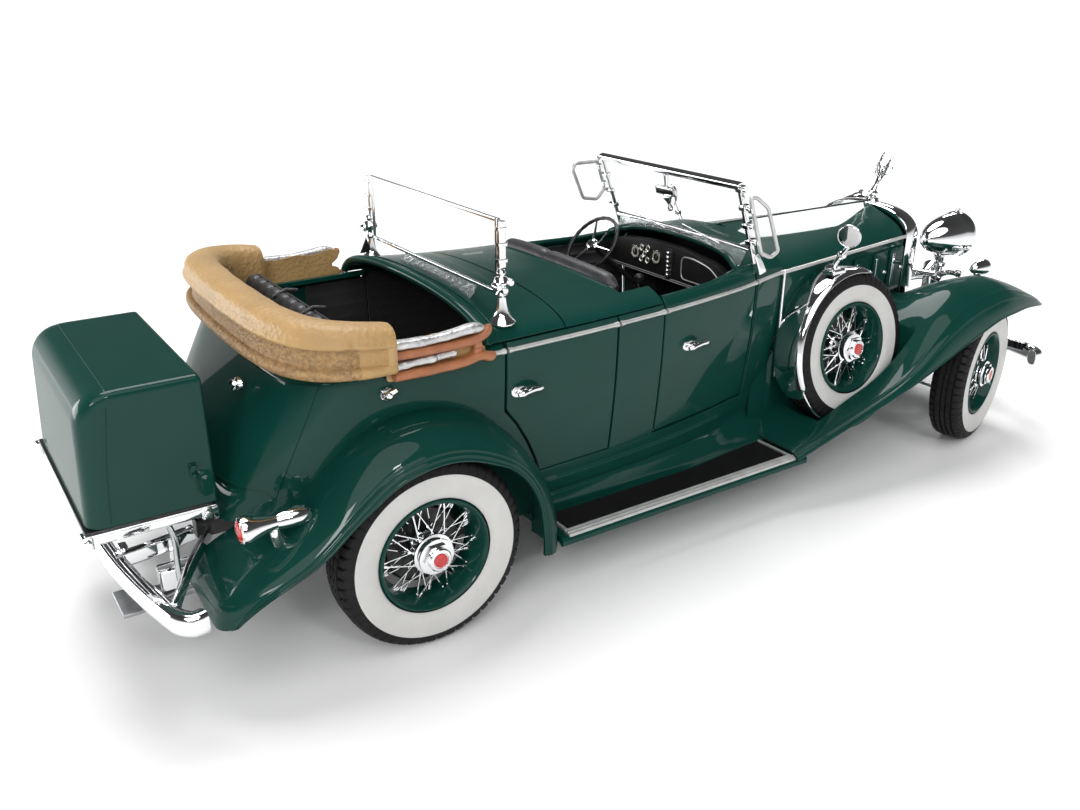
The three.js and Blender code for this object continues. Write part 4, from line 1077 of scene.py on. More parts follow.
# ---- trunk, rack, bumpers and tail lights ----
TRUNK_TOP_Z, TRUNK_FRONT_X, CREASE_X = 69.5, -146.4, -165.0


def trunk_rings(inset):
    """Rings up the trunk: the upright rear rolls well over at the top, and its other edges are tight."""
    foot_z, top_z, rear_round, side_round = 40.7, TRUNK_TOP_Z - inset, 6.4, 1.5
    levels = [(foot_z, 0.0), (46.0, 0.0), (54.0, 0.0), (60.0, 0.0), (top_z - rear_round, 0.0)]
    levels += [(top_z - rear_round * (1 - math.sin(a)), a) for a in np.radians([10, 20, 30, 40, 50, 60, 70,
            80, 90])]
    rings = []
    for z, a in levels:
        t = (z - foot_z) / (TRUNK_TOP_Z - foot_z)
        rear, half = mix(-173.3, -171.6, t) + inset, mix(28.5, 27.3, t) - inset
        rear += rear_round * (1 - math.cos(a))
        near_top = max(0.0, 1 - (top_z - z) / side_round)
        edge_fall = side_round * (1 - math.sqrt(1 - near_top**2))
        half -= edge_fall
        front = TRUNK_FRONT_X - inset - 0.5 * edge_fall
        corner = 4.4 - 1.2 * (1 - math.cos(a))
        outline = rounded([(rear, -half), (front, -half), (front, half), (rear, half)],
                          [corner, 0.9, 0.9, corner], 9)
        rings.append(np.column_stack([outline, np.full(len(outline), z)]))
    crown = rings[-1].copy()
    centre = crown.mean(axis=0)
    rings.append(centre + (crown - centre) * (0.93, 0.97, 1))
    return rings


def trunk_box():
    outer, inner = trunk_rings(0.0), trunk_rings(1.1)
    return weave(np.array(inner[::-1] + outer), wrap=True, caps=True)


def trunk_creases():
    """The fine raised line that parts the round rear from the flat sides and top."""
    forms = []
    for side in (-1, 1):
        path = flowing([(-168.7, side * 28.55, 40.9), (-167.4, side * 27.97, 55),
                        (-165.6, side * 27.5, 66.4)], 10)
        over = flowing([(-165.3, side * 27.2, 68.3), (-165.1, side * 26.0, 69.3),
                        (-165.0, side * 24, 69.5)], 8)
        forms += [tube(path, 0.11, 6), tube(over, 0.11, 6)]
    forms.append(tube([(CREASE_X, y, TRUNK_TOP_Z) for y in (-24, 0, 24)], 0.11, 6))
    return forms


def latch(side):
    plate = bar(-151.7, -150.1, side * 28.2 - 0.4, side * 28.2 + 0.4, 47.2, 50.6, 0.3)
    knob = moved(turned([(0, -0.6), (0.7, -0.55), (0.8, 0), (0.6, 0.5), (0, 0.6)], 20), -150.9,
                 side * 28.7, 49.7)
    hasp = moved(turned([(0, -0.5), (0.5, -0.5), (0.5, 0.5), (0, 0.5)], 16), -150.9, side * 28.6, 47.9)
    return [plate, knob, hasp]


trunk = Piece("trunk_box_shell", "trunk_cover_body", "green_paint", ("trunk_cover",), edge=0.1)
trunk.add(trunk_box(), GREEN)
for form in trunk_creases():
    trunk.add(form, GREEN)
for side in (-1, 1):
    for form in latch(side):
        trunk.add(form, GREEN)
trunk.done()


def rack_forms():
    forms = [(bar(-173.9, -147.4, -28.1, 28.1, 39.9, 40.45, 0.6), BLACK)]
    for side in (-1, 1):
        outline = rounded([(side * 26.6, 37.3), (side * 28.4, 37.3), (side * 28.4, 39.6),
                           (side * 26.6, 39.6)], 0.5, 3)
        forms.append((prism(outline, -174.2, -146.8, "x"), CHROME))
        step = rounded([(side * 27.3, 39.4), (side * 28.9, 39.4), (side * 28.9, 40.0),
                        (side * 27.3, 40.0)], 0.2, 2)
        forms.append((prism(step, -174.0, -147.2, "x"), CHROME))
        for x in (-173.6, -149.2):
            forms.append((block(x, side * 27.5, 1.1, 1.5, 36.9, 39.9, 0.4), CHROME))
            bolt = turned([(0, -0.5), (0.8, -0.5), (0.9, 0), (0.6, 0.5), (0, 0.5)], 18)
            forms.append((moved(bolt, x, side * 29.3, 38.4), CHROME))
        strut = flowing([(-157.5, side * 26.2, 38.2), (-156.4, side * 24.6, 33.5),
                         (-156.2, side * 23.0, 27.5), (-156.2, side * 22.2, 21.4)], 14)
        flat = np.array(oblong(2.1, 0.7))
        forms.append((carried(strut, rounded(flat, 0.4, 2), up=(1, 0, 0)), CHROME))
        forms.append((bar(-160.2, -152.6, side * 22 - 2.2, side * 22 + 2.2, 19.4, 24.2, 0.9), CHROME))
        forms.append((bar(-158.6, -148.2, side * 17 - 1.3, side * 17 + 1.3, 32.2, 36.8, 0.4), STEEL))
        front = flowing([(-147.5, side * 27.3, 38.3), (-146.4, side * 24.5, 35.0),
                         (-147.4, side * 20.0, 33.0)], 10)
        forms.append((tube(front, 0.85, 10), CHROME))
    for x, sag in ((-171.6, 0.5), (-165.5, 1.8), (-159.4, 2.6), (-149.5, 0.6)):
        path = flowing([(x, -26.8, 38.2), (x, -14, 38.2 - sag), (x, 0, 38.1 - sag), (x, 14, 38.2 - sag),
                        (x, 26.8, 38.2)], 30)
        forms.append((tube(path, 0.95, 10), CHROME))
    return forms


build(rack_forms(), "trunk_rack_rails", "car_body", "chrome", ("trunk_rack",), edge=0.14)


def bumper_bar(middle, bow, half, z, tall, roll_back, deep=1.9):
    """One bowed bar with its ends rolled back; the middle is its front face."""
    forward = 1 if middle > 0 else -1
    y = np.linspace(0, half - 3.2, 9)
    run = [(middle - bow * (v / half) ** 2, v) for v in y]
    end_x = middle - bow
    run += [(end_x - forward * 0.1, half - 1.3), (end_x - forward * 1.4, half - 0.1),
            (end_x - forward * 2.2, half + 0.2), (end_x - forward * (2.4 + roll_back), half - 0.3)]
    half_path = flowing(run, 46)
    plan = np.vstack([half_path[::-1] * (1, -1), half_path[1:]])
    path = np.column_stack([plan, np.full(len(plan), z + tall / 2)])
    section = rounded(oblong(deep, tall / 2), deep * 0.97, 8)
    return carried(path, section)


def bumper_forms(middle, bow, half, z, arm_from):
    forward = 1 if middle > 0 else -1
    forms = [(bumper_bar(middle - forward * 1.5, bow, half, z + 0.4, 5.3, 1.6), CHROME)]
    for y in (-17, 17):
        x = middle - forward * 3.6 - bow * (y / half) ** 2
        forms.append((block(x, y, 0.9, 1.6, z + 0.8, z + 6.8, 0.5), CHROME))
    rail_z = 28.3
    for side in (-1, 1):
        x = middle - forward * 1.4 - bow * (17 / half) ** 2
        arm = flowing([(arm_from, side * 17, rail_z), (mix(arm_from, x, 0.5), side * 18.4, z + 4.8),
                       (x, side * 19, z + 4.4)], 12)
        flat = rounded(oblong(1.1, 1.9), 0.7, 3)
        forms.append((carried(arm, flat), CHROME))
        x_end = middle - forward * 1.2 - bow * ((half - 4) / half) ** 2
        brace = flowing([(arm_from - forward * 3, side * 18.8, rail_z),
                         (mix(arm_from, x_end, 0.45), side * 33, z + 5),
                         (x_end - forward * 0.8, side * (half - 5), z + 4.4)], 16)
        forms.append((carried(brace, rounded(oblong(0.7, 1.5), 0.4, 2)), CHROME))
    return forms


for name, values in (("rear_bumper", (-170, -7, 50, 23, -150.3)),
                     ("front_bumper", (150.3, 7, 47, 20, 138.3))):
    build(bumper_forms(*values), f"{name}_bars", "car_body", "chrome", (name,), edge=0.1)


TAIL_LAMP_Y = 43


def tail_light_forms():
    """A round red lens in a tapering bowl, with a rounded spear ahead; drawn along +Y, rear end first."""
    lens_form = turned([(0, -0.85), (1.0, -0.8), (1.9, -0.6), (2.5, -0.2), (2.6, 0.5), (0, 0.5)], 40)
    bowl = turned([(0, 0.6), (2.3, 0.5), (2.55, -0.3), (2.95, 0.0), (3.15, 0.9), (2.95, 2.1), (2.5, 3.6),
                   (2.05, 5.0), (1.7, 6.4), (1.5, 7.6), (1.45, 8.2), (0, 8.3)], 40)
    spear = turned([(0, 7.6), (1.6, 7.7), (1.85, 8.5), (2.15, 10.6), (2.3, 12.6), (2.2, 14.0), (1.7, 15.0),
                    (0.9, 15.5), (0, 15.6)], 36)
    return [(lens_form, LENS_RED), (bowl, CHROME), (spear, CHROME)]


for hand, side in SIDES:
    lamp = Piece(f"tail_lamp_{hand}", "car_body", "red_lens", (f"tail_light_{hand}",))
    for form, finish in tail_light_forms():
        lamp.add(moved(spun(form, "Z", -90), -146.6, side * TAIL_LAMP_Y, 39.7), finish)
    stem = taper([(-139.2, side * TAIL_LAMP_Y, 38.6), (-139.0, side * 42.6, 36.4),
                  (-138.0, side * 42.0, 33.6)], 8, 1.1, 1.7, 12)
    lamp.add(stem, CHROME)
    lamp.done()

# ---- folded top: moulded boot and the bow ends ahead of it ----
TAN = material("tan_vinyl", (0.42, 0.262, 0.105), 0.5, tint=0.09, tint_size=8, grain=0.17, grain_size=1.1,
               cells=True)
WOVEN = material("woven_tan", (0.33, 0.2, 0.085), 0.6, tint=0.3, tint_size=1.1, grain=0.32, grain_size=0.7,
                 cells=True)
FOIL = material("silver_wrap", (0.6, 0.6, 0.6), 0.36, metal=0.85, tint=0.14, tint_size=1.6, grain=0.28,
                grain_size=0.9)
BOOT_HALF = [(-109.8, 41.4), (-118, 40.8), (-125, 36.6), (-128.8, 27), (-130, 13)]
BOOT_FOOT_Z, BOOT_SEAM_X = 67.9, -118.3


def boot_form():
    """Two piped ribs with a sunk band between them, closed by a flat plate at each end."""
    path = [(x, -y) for x, y in BOOT_HALF] + [(-130.2, 0)] + BOOT_HALF[::-1]
    count = 260
    plan = flowing(path, count)
    along = np.gradient(plan, axis=0)
    along /= np.linalg.norm(along, axis=1, keepdims=True)
    out = np.column_stack([-along[:, 1], along[:, 0]])
    run = np.concatenate([[0], np.cumsum(np.linalg.norm(np.diff(plan, axis=0), axis=1))])
    outer = np.array([
        (3.5, 0.0), (4.5, 0.3), (5.0, 0.9), (5.2, 1.6), (5.1, 2.3), (4.7, 2.75), (4.2, 2.95), (3.6, 3.05),
        (3.4, 3.4), (3.4, 7.2), (3.6, 7.5), (4.5, 7.6), (5.05, 7.9), (5.25, 8.4), (5.1, 8.9), (4.7, 9.3),
        (4.55, 9.9),
    ])
    crown = np.array([(4.35, 10.9), (3.75, 11.9), (2.6, 12.6), (1.0, 13.0), (-0.8, 13.0), (-2.4, 12.6),
                      (-3.6, 11.7), (-4.25, 10.3), (-4.4, 8), (-4.3, 4), (-4.0, 0.6), (-3.2, 0.0)])
    rows = []
    for i in range(count):
        from_end = min(run[i], run[-1] - run[i])
        sunk = ease((from_end - 2.6) / 0.5)
        band = outer.copy()
        band[:, 0] = mix(np.maximum(band[:, 0], np.interp(band[:, 1], [0, 1.2, 9.3, 9.9],
                                                          [3.5, 4.8, 4.9, 4.55])), band[:, 0], sunk)
        if abs(plan[i, 0] - BOOT_SEAM_X) < 0.3:
            band[:, 0] -= 0.28
        t = run[i] / run[-1]
        tall = 1 - 0.22 * abs(2 * t - 1) ** 4
        section = np.vstack([band, crown])
        swell = 0.16 * math.sin(run[i] / 4.1) + 0.1 * math.sin(run[i] / 1.7 + 2)
        section[:, 1] *= tall + 0.004 * swell
        section[len(outer):, 0] += swell * 0.5
        pull = 1 - 0.1 * ease((1.0 - from_end) / 1.0)
        across = section[:, :1] * pull
        rows.append(np.column_stack([plan[i] + out[i] * across, BOOT_FOOT_Z + section[:, 1]]))
    return weave(np.array(rows), wrap=True, caps=True)


def boot_weave(centres):
    """The outer face behind the seam is woven; the crown and the ends are pebbled."""
    low = centres[:, 2] < BOOT_FOOT_Z + 7.4
    inner = np.hypot(centres[:, 0] + 104, centres[:, 1] * 0.62) < 24.5
    return (centres[:, 0] < BOOT_SEAM_X) & low & ~inner, WOVEN


Piece("folded_top_boot", "car_body", "tan_vinyl", ("top_boot",), sharp=50).add(boot_form(), TAN,
        boot_weave).done()


def bow_bar(points, side, width, tall, lumps=0.0, y=42.9):
    path = flowing([(x, y, z) for x, z in points], 40)
    swell = 1 + lumps * np.sin(np.linspace(0, 9.5, 40)) + 0.6 * lumps * np.sin(np.linspace(0, 23, 40) + 1)
    swell[-3:] *= (0.96, 0.8, 0.5)
    flat = rounded(oblong(width / 2, tall / 2),
                   min(width, tall) * 0.42, 4)
    return sided(carried(path, flat, size=swell), side)


for hand, side in SIDES:
    bows = Piece(f"folded_bow_ends_{hand}", "car_body", "bow_wood", (f"top_bows_{hand}",), edge=0.08)
    bows.add(bow_bar([(-110, 71.1), (-100, 70.9), (-91, 71.1), (-87.6, 72.0), (-86.1, 73.2),
                      (-85.9, 74.0)], side, 2.7, 2.0, 0.02), WOOD)
    bows.add(bow_bar([(-110, 73.4), (-103, 73.1), (-97, 73.3), (-91, 73.9), (-87.2, 73.7)], side, 2.6, 1.9,
                     0.07), FOIL)
    bows.add(bow_bar([(-110, 66.5), (-101, 66.3), (-93, 66.5), (-88.5, 67.3), (-86.0, 66.5),
                      (-84.4, 66.9)], side, 2.7, 2.1, 0.02, 43.1), WOOD)
    bows.add(bow_bar([(-110, 68.6), (-104, 68.8), (-99.4, 68.9)], side, 2.5, 1.7, 0.06), FOIL)
    bows.add(bow_bar([(-99.6, 69.0), (-97, 69.1), (-94.6, 69.2)], side, 2.3, 1.5, 0.03), FOIL)
    bows.add(bow_bar([(-89.6, 67.0), (-88.9, 69.0), (-89.2, 71.2)], side, 2.2, 2.2, 0.0), WOOD)
    inner = [(-111, 64.9), (-90, 64.9), (-86.4, 66.4), (-86.1, 68.6), (-89, 69.6), (-86.3, 71.4),
             (-86.0, 73.6), (-89, 74.4), (-94, 73.2), (-99, 73.9), (-104, 73.2), (-111, 73.8)]
    y0, y1 = sorted((side * 41.3, side * 41.9))
    bows.add(prism(rounded(inner, 0.8, 3), y0, y1, "y"), TAN)
    bows.done()

# ---- windshields ----
SCREEN_TOP, SCREEN_FOOT = (1.2, 95.4), (9.8, 71.6)
SCREEN_TALL = math.hypot(SCREEN_TOP[0] - SCREEN_FOOT[0], SCREEN_TOP[1] - SCREEN_FOOT[1])
LEAN = math.atan2(SCREEN_FOOT[0] - SCREEN_TOP[0], SCREEN_TOP[1] - SCREEN_FOOT[1])


def leaned(form):
    """Moves a form drawn upright (x ahead, y, height) onto the windshield's line."""
    return moved(spun(form, "Y", -math.degrees(LEAN)), SCREEN_FOOT[0], 0, SCREEN_FOOT[1])


def upright_bar(y, low, high, width, deep):
    outline = rounded([(-deep, y - width), (deep, y - width), (deep, y + width), (-deep, y + width)], 0.35,
                      3)
    return prism(outline, low, high)


def cross_bar(half, height, tall, deep, dip=0.0):
    y = np.linspace(-half, half, 25)
    path = np.column_stack([np.zeros(25), y, height - dip * (y / half) ** 2])
    section = rounded(oblong(deep, tall), min(tall, deep) * 0.7, 4)
    return carried(path, section)


def windshield_forms():
    forms = [(leaned(cross_bar(31.5, SCREEN_TALL - 0.7, 0.95, 1.15)), CHROME),
             (leaned(cross_bar(30.4, 5.2, 0.55, 0.6, 0.6)), CHROME)]
    for side in (-1, 1):
        forms.append((leaned(upright_bar(side * 30.9, 0.6, SCREEN_TALL - 0.2, 0.62, 0.75)), CHROME))
        foot = [(11.6, side * 31.4, 69.4), (11.1, side * 31.4, 70.8), (10.4, side * 31.2, 72.6),
                (9.4, side * 31.0, 74.6)]
        flat = rounded(oblong(0.95, 1.1), 0.5, 3)
        forms.append((carried(flowing(foot, 14), flat, up=(0, 1, 0), size=np.linspace(1.5, 0.85, 14)),
                      CHROME))
        for height in (7, 12, 17.6, 23.2):
            ring = block(0, side * 31.1, 1.15, 1.25, height, height + 1.3, 0.35)
            forms.append((leaned(ring), CHROME))
            pin = moved(turned([(0, -1.2), (0.7, -1.1), (0.85, 0), (0.7, 1.1), (0, 1.2)], 16), 0,
                        side * 32.4, height + 0.6)
            forms.append((leaned(pin), CHROME))
    stem = [(-0.9, -1.0, SCREEN_TALL - 1.6), (-1.5, -1.0, 21.6), (-1.9, -1.0, 20.4)]
    forms.append((leaned(taper(stem, 8, 1.0, 0.65, 10)), CHROME))
    shell = prism(rounded([(-4.6, -1.35), (4.6, -1.35), (4.2, 1.35), (-4.2, 1.35)], 0.7, 4), -1.7, -0.9, "x")
    forms.append((leaned(moved(shell, -1.0, -1.0, 19.2)), CHROME))
    glass_face = prism(rounded([(-4.1, -1.0), (4.1, -1.0), (3.8, 1.0), (-3.8, 1.0)], 0.5, 3), -1.85, -1.65,
                       "x")
    forms.append((leaned(moved(glass_face, -1.0, -1.0, 19.2)), MIRROR))
    for low, high, r0, r1 in ((17.6, 14.9, 1.75, 0.45), (14.9, 13.4, 0.5, 1.0), (13.4, 12.6, 1.0, 0.6)):
        cone = tube([(-2.2, -1.0, low), (-2.2, -1.0, mix(low, high, 0.5)), (-2.2, -1.0, high)],
                    [r0, mix(r0, r1, 0.55), r1], 14)
        forms.append((leaned(cone), CHROME))
    return forms


def wiper_forms():
    """A moulded clear skirt from the glass down to the scuttle, with two wiper arms on it."""
    y = np.linspace(-28.6, 28.6, 61)
    crown = skin(np.full(61, 8.2), np.where(y < 0, width_s(8.2, np.abs(y)),
                                            4 - width_s(8.2, np.abs(y))))[:, 2]
    top_z = np.full(61, 76.7) - 0.6 * (y / 28.6) ** 2
    rows = []
    for t in np.linspace(0, 1, 7):
        z = mix(top_z, crown + 0.3, t)
        ripple = 0.22 * np.sin(y * 1.3 + 4 * t) * np.sin(math.pi * t)
        rows.append(np.column_stack([mix(7.9, 5.9, t ** 1.5) + ripple, y, np.minimum(z, top_z)]))
    skirt = panel(np.array(rows), 0.5, (30, 0, 60))
    arms = [tube(flowing([(5.9, y0, 76.2), (5.6, y0 + 7, 77.4), (4.7, y0 + 15, 79.2)], 14), 0.22, 6)
            for y0 in (-20, 4)]
    return [(skirt, MOULDED)] + [(arm, CHROME) for arm in arms]


build(windshield_forms() + wiper_forms(), "windshield_frame_castings", "car_body", "chrome",
      ("windshield_frame",), edge=0.08)

pane = Piece("windshield_pane", "car_body", "clear_glass", ("windshield_glass",), edge=0.05)
pane.add(leaned(prism([(-30.3, 5.6), (30.3, 5.6), (30.3, SCREEN_TALL - 1.5), (-30.3, SCREEN_TALL - 1.5)],
                      -0.2, 0.2, "x")), GLASS)
pane.done()

NEAR_WING = [(0.5, 21.4), (2.6, 20.4), (6.0, 15.6), (6.8, 1.6), (3.6, 1.2), (0.5, 4.2)]
FAR_WING = [(-0.5, 22.8), (-8.8, 25.8), (-10.2, 24.4), (-9.4, 14.0), (-4.4, 11.2), (-0.5, 13.2)]
for hand, side, shape, heights in (("r", -1, NEAR_WING, (7.6, 17.6)), ("l", 1, FAR_WING, (15, 21))):
    wing = Piece(f"wind_wing_framed_{hand}", f"wind_wing_{hand}_body", "clear_glass",
                 (f"wind_wing_{hand}",), edge=0.06)
    outline = rounded(shape, 0.9, 4)
    y = side * 33.85
    edge_path = np.column_stack([outline[:, 0], np.full(len(outline), y), outline[:, 1]])
    wing.add(leaned(tube(edge_path, 0.62, 8, closed=True)), SATIN)
    wing.add(leaned(prism(outline, y - 0.18, y + 0.18, "y")), GLASS)
    for height in heights:
        lug = bar(*sorted((side * 0.4, -side * 1.1)), *sorted((side * 32.6, side * 34.2)), height - 0.7,
                  height + 0.7, 0.3)
        wing.add(leaned(lug), CHROME)
    wing.done()

# ---- rear-seat windshield on its stanchions ----
TONNEAU_X, FRAME_HALF, POST_Y = -77.7, 34.4, 35.5
GLASS_LOW_Z, GLASS_HIGH_Z = 78.2, 95.0


def cowl_z(x, y):
    return skin(x, width_s(x, abs(y)))[2]


def stanchion(side):
    """A flared foot on the cowl, a waist and the clamp that the screen tilts in."""
    y = side * 35.9
    foot_z = cowl_z(TONNEAU_X, 35.9) - 0.5
    forms = []
    bell = turned([(0, 0), (3.3, 0), (3.4, 0.4), (2.9, 0.9), (2.2, 1.7), (1.7, 2.9), (1.4, 4.4),
                   (1.2, 6.0), (1.15, 6.5), (0, 6.5)], 36)
    forms.append((moved(spun(bell, "X", 90), TONNEAU_X - 0.4, y, foot_z), CHROME))
    neck = turned([(0, 6.2), (1.1, 6.3), (1.45, 7.0), (1.15, 7.6), (0.95, 8.4), (1.5, 9.0), (1.9, 9.9),
                   (1.6, 10.9), (1.0, 11.4), (1.2, 12.2), (0.8, 12.9), (0, 13.0)], 24)
    forms.append((moved(spun(neck, "X", 90), TONNEAU_X - 0.4, y, foot_z), CHROME))
    for dx, dz in ((-1.7, 9.2), (1.6, 9.9), (0, 8.2)):
        knob = moved(turned([(0, -1.5), (0.7, -1.4), (1.0, -0.6), (1.0, 0.6), (0.7, 1.4), (0, 1.5)], 18),
                     TONNEAU_X - 0.4 + dx, y + side * 0.7, foot_z + dz)
        forms.append((knob, CHROME))
    return forms


def screen_forms():
    """The thin frame and a plated post down each side, with rings on the posts."""
    forms = []
    for z in (GLASS_LOW_Z - 0.2, GLASS_HIGH_Z + 0.2):
        path = np.array([(TONNEAU_X, y, z) for y in np.linspace(-FRAME_HALF, FRAME_HALF, 9)])
        flat = rounded(oblong(0.5, 0.42), 0.2, 3)
        forms.append((carried(path, flat), CHROME))
    for side in (-1, 1):
        forms.append((moved(block(0, side * 33.9, 0.6, 0.55, 77.6, 95.6, 0.25), TONNEAU_X), CHROME))
        post = block(0, side * POST_Y, 0.95, 0.75, 84.4, 95.2, 0.5)
        forms.append((moved(post, TONNEAU_X), CHROME))
        for z in (85.6, 89.4, 93.0):
            ring = block(0, side * POST_Y, 1.25, 1.0, z, z + 0.8, 0.4)
            forms.append((moved(ring, TONNEAU_X), CHROME))
    return forms


def lip_form():
    y = np.linspace(-24, 14, 77)
    rows = []
    for t in np.linspace(0, 1, 9):
        drop = mix(77.4, 74.9, t) - 0.8 * (y / 24) ** 2 * t
        emboss = 0.25 * np.sin(y * 1.9) * np.sin(3 * math.pi * t)
        rows.append(np.column_stack([TONNEAU_X - 0.4 - 2.6 * t ** 1.3 + emboss, y, drop + emboss * 0.4]))
    return panel(np.array(rows), 0.6, (-60, 0, 60))


cowl_posts = Piece("tonneau_stanchions", "tonneau_cowl_body", "chrome", edge=0.08)
for side in (-1, 1):
    for form, finish in stanchion(side):
        cowl_posts.add(form, finish)
cowl_posts.add(prism([(-82.2, 73.6), (-78.6, 73.6), (-80.0, 78.0)], 34.6, 35.0, "y"), BLACK)
cowl_posts.add(lip_form(), MOULDED)
cowl_posts.done()

build(screen_forms(), "tonneau_screen_frame", "tonneau_windshield_body", "chrome", ("tonneau_windshield",),
      edge=0.06)

Piece("tonneau_pane", "tonneau_windshield_body", "clear_glass", ("tonneau_glass",),
      edge=0.05).add(moved(prism([(-33.6, GLASS_LOW_Z), (33.6, GLASS_LOW_Z), (33.6, GLASS_HIGH_Z),
                                  (-33.6, GLASS_HIGH_Z)], -0.2, 0.2, "x"), TONNEAU_X), GLASS).done()

# ---- hood, radiator and mascot ----
HOOD_X, HOOD_EDGE_Z, HOOD_TOP_Z = (24.95, 93.5), 67.5, 76.1


def hood_half(x):
    return np.interp(x, (24.6, 93.5), (28.5, 18.2))


def hood_point(x, angle):
    """Straight slopes up to a peak, rounded at the edge."""
    half, t = hood_half(x), np.abs(np.cos(angle))
    rise = mix(HOOD_TOP_Z, 75.9, (x - 24.6) / 69) - HOOD_EDGE_Z
    return np.stack([x + 0 * angle, half * t, HOOD_EDGE_Z + rise * (1 - 0.72 * t**1.15 - 0.28 * t**7)],
                    axis=-1)


def hood_top(side):
    x = np.linspace(*HOOD_X, 44)[:, None]
    angle = np.concatenate([np.linspace(0, 0.25, 8), np.linspace(0.25, math.pi / 2, 26)[1:]])[None, :]
    rows = hood_point(x, angle)
    rows[..., 1] = np.maximum(rows[..., 1], 0.35)
    return sided(panel(rows, 0.9, (60, 0, 50)), side)


def hood_side_form(side):
    x = np.linspace(25.0, 93.3, 60)[None, :]
    z = np.linspace(46.2, 66.4, 20)[:, None]
    rows = np.stack([x + 0 * z, hood_half(x) + 0.5 - 0.0027 * (66.4 - z) ** 2, z + 0 * x], axis=-1)
    return sided(panel(rows, 1.0, (60, 0, 56)), side)


def vent_door(x, side):
    """A raised door in the hood side, with a bright handle strip and a knob."""
    wide, low, high = 8.2, 49.6, 64.2
    slope = math.atan2(28.5 - 18.2, 68.9)
    y = float(hood_half(x)) + 0.55
    plate = prism(rounded([(-wide / 2, low), (wide / 2, low), (wide / 2, high), (-wide / 2, high)], 0.9,
                          4), -0.1, 0.8, "y")
    strip = prism(rounded([(-3.3, low + 1.6), (-1.9, low + 1.6), (-1.9, high - 1.6), (-3.3, high - 1.6)],
                          0.5, 3), 0.6, 1.25, "y")
    knob = moved(turned([(0, 0.5), (0.7, 0.6), (0.8, 1.2), (0.5, 1.6), (0, 1.7)], 16), 2.6, 0, 57)
    forms = []
    for form, finish in ((plate, GREEN), (strip, CHROME), (knob, CHROME)):
        forms.append((sided(moved(spun(form, "Z", -math.degrees(slope)), x, y, 0), side), finish))
    return forms


for hand, side in SIDES:
    Piece(f"hood_top_skin_{hand}", f"hood_top_{hand}_body", "green_paint", (f"hood_top_{hand}",),
          edge=0.12).add(hood_top(side), GREEN).done()
    flank = Piece(f"hood_side_skin_{hand}", "car_body", "green_paint", (f"hood_side_{hand}",), edge=0.1)
    flank.add(hood_side_form(side), GREEN)
    for x in (43.2, 54.9, 66.6, 78.3, 88.6):
        for form, finish in vent_door(x, side):
            flank.add(form, finish)
    strip = np.array([(x, hood_half(x) + 0.6, 66.95) for x in np.linspace(24.4, 94.0, 14)])
    flank.add(sided(carried(strip, rounded(oblong(0.5, 0.5), 0.3, 3)), side), SATIN)
    flank.done()

Piece("hood_centre_hinge", "car_body", "chrome", edge=0.05).add(tube([(24.9, 0, 76.05), (60, 0, 75.95),
        (93.6, 0, 75.9)], 0.42, 10), BLACK).done()


def arch(inset, bottom=34.0):
    """The radiator's outline as (y, z), drawn in by the inset."""
    half, shoulder, top_z = 19.6 - inset, 66.0, 75.9 - inset
    angle = np.linspace(0, math.pi, 37)
    curve = np.column_stack([half * np.sign(np.cos(angle)) * np.abs(np.cos(angle)) ** 0.85,
                             shoulder + (top_z - shoulder) * np.sin(angle) ** 0.85])
    left = np.column_stack([np.full(9, half), np.linspace(bottom + inset, shoulder, 10)[:-1]])
    return np.vstack([left, curve, (left * (-1, 1))[::-1]])


def shell_form():
    stations = [(94.0, 0.35), (94.6, 0.0), (96.2, -0.25), (99.4, 0.0), (100.3, 0.7), (100.5, 1.6),
                (99.9, 2.6), (98.6, 2.9), (94.4, 2.9)]
    rows = []
    for x, inset in stations:
        outline = arch(inset)
        rows.append(np.column_stack([np.full(len(outline), x), outline]))
    return weave(np.array(rows), wrap=True, loop=True)


radiator = Piece("radiator_shell_plated", "car_body", "chrome", ("radiator_shell",), edge=0.06)
radiator.add(shell_form(), CHROME)
for y in np.linspace(-15.6, 15.6, 27):
    high = 66 + 7.4 * (1 - min(1, abs(y) / 16.9) ** 2.4) ** 0.42
    radiator.add(tube([(98.9, y, 36.6), (98.9, y, 52), (98.9, y, high)], 0.27, 6), CHROME)
cap_form = turned([(0, -0.6), (2.3, -0.6), (2.5, 0.0), (2.2, 0.8), (1.5, 1.1), (1.9, 1.9), (1.8, 2.8),
                   (1.1, 3.4), (0, 3.5)], 32)
radiator.add(moved(spun(cap_form, "X", 90), 97.9, 0, 75.8), CHROME)
radiator.done()

core = Piece("radiator_core_fins", "car_body", "grey_metal", ("radiator_core",), edge=0.05)
for z in np.arange(37, 73, 1.5):
    half = 16.2 if z < 66 else 16.2 * math.sqrt(max(0.02, 1 - ((z - 66) / 7.6) ** 2))
    core.add(bar(94.6, 97.2, -half, half, z, z + 0.55, 0.2), DARK)
core.add(prism(rounded([(-16.4, 36.6), (16.4, 36.6), (16.4, 66), (12, 72), (-12, 72), (-16.4, 66)], 2, 4),
               94.5, 95.4, "x"), DARK)
core.done()


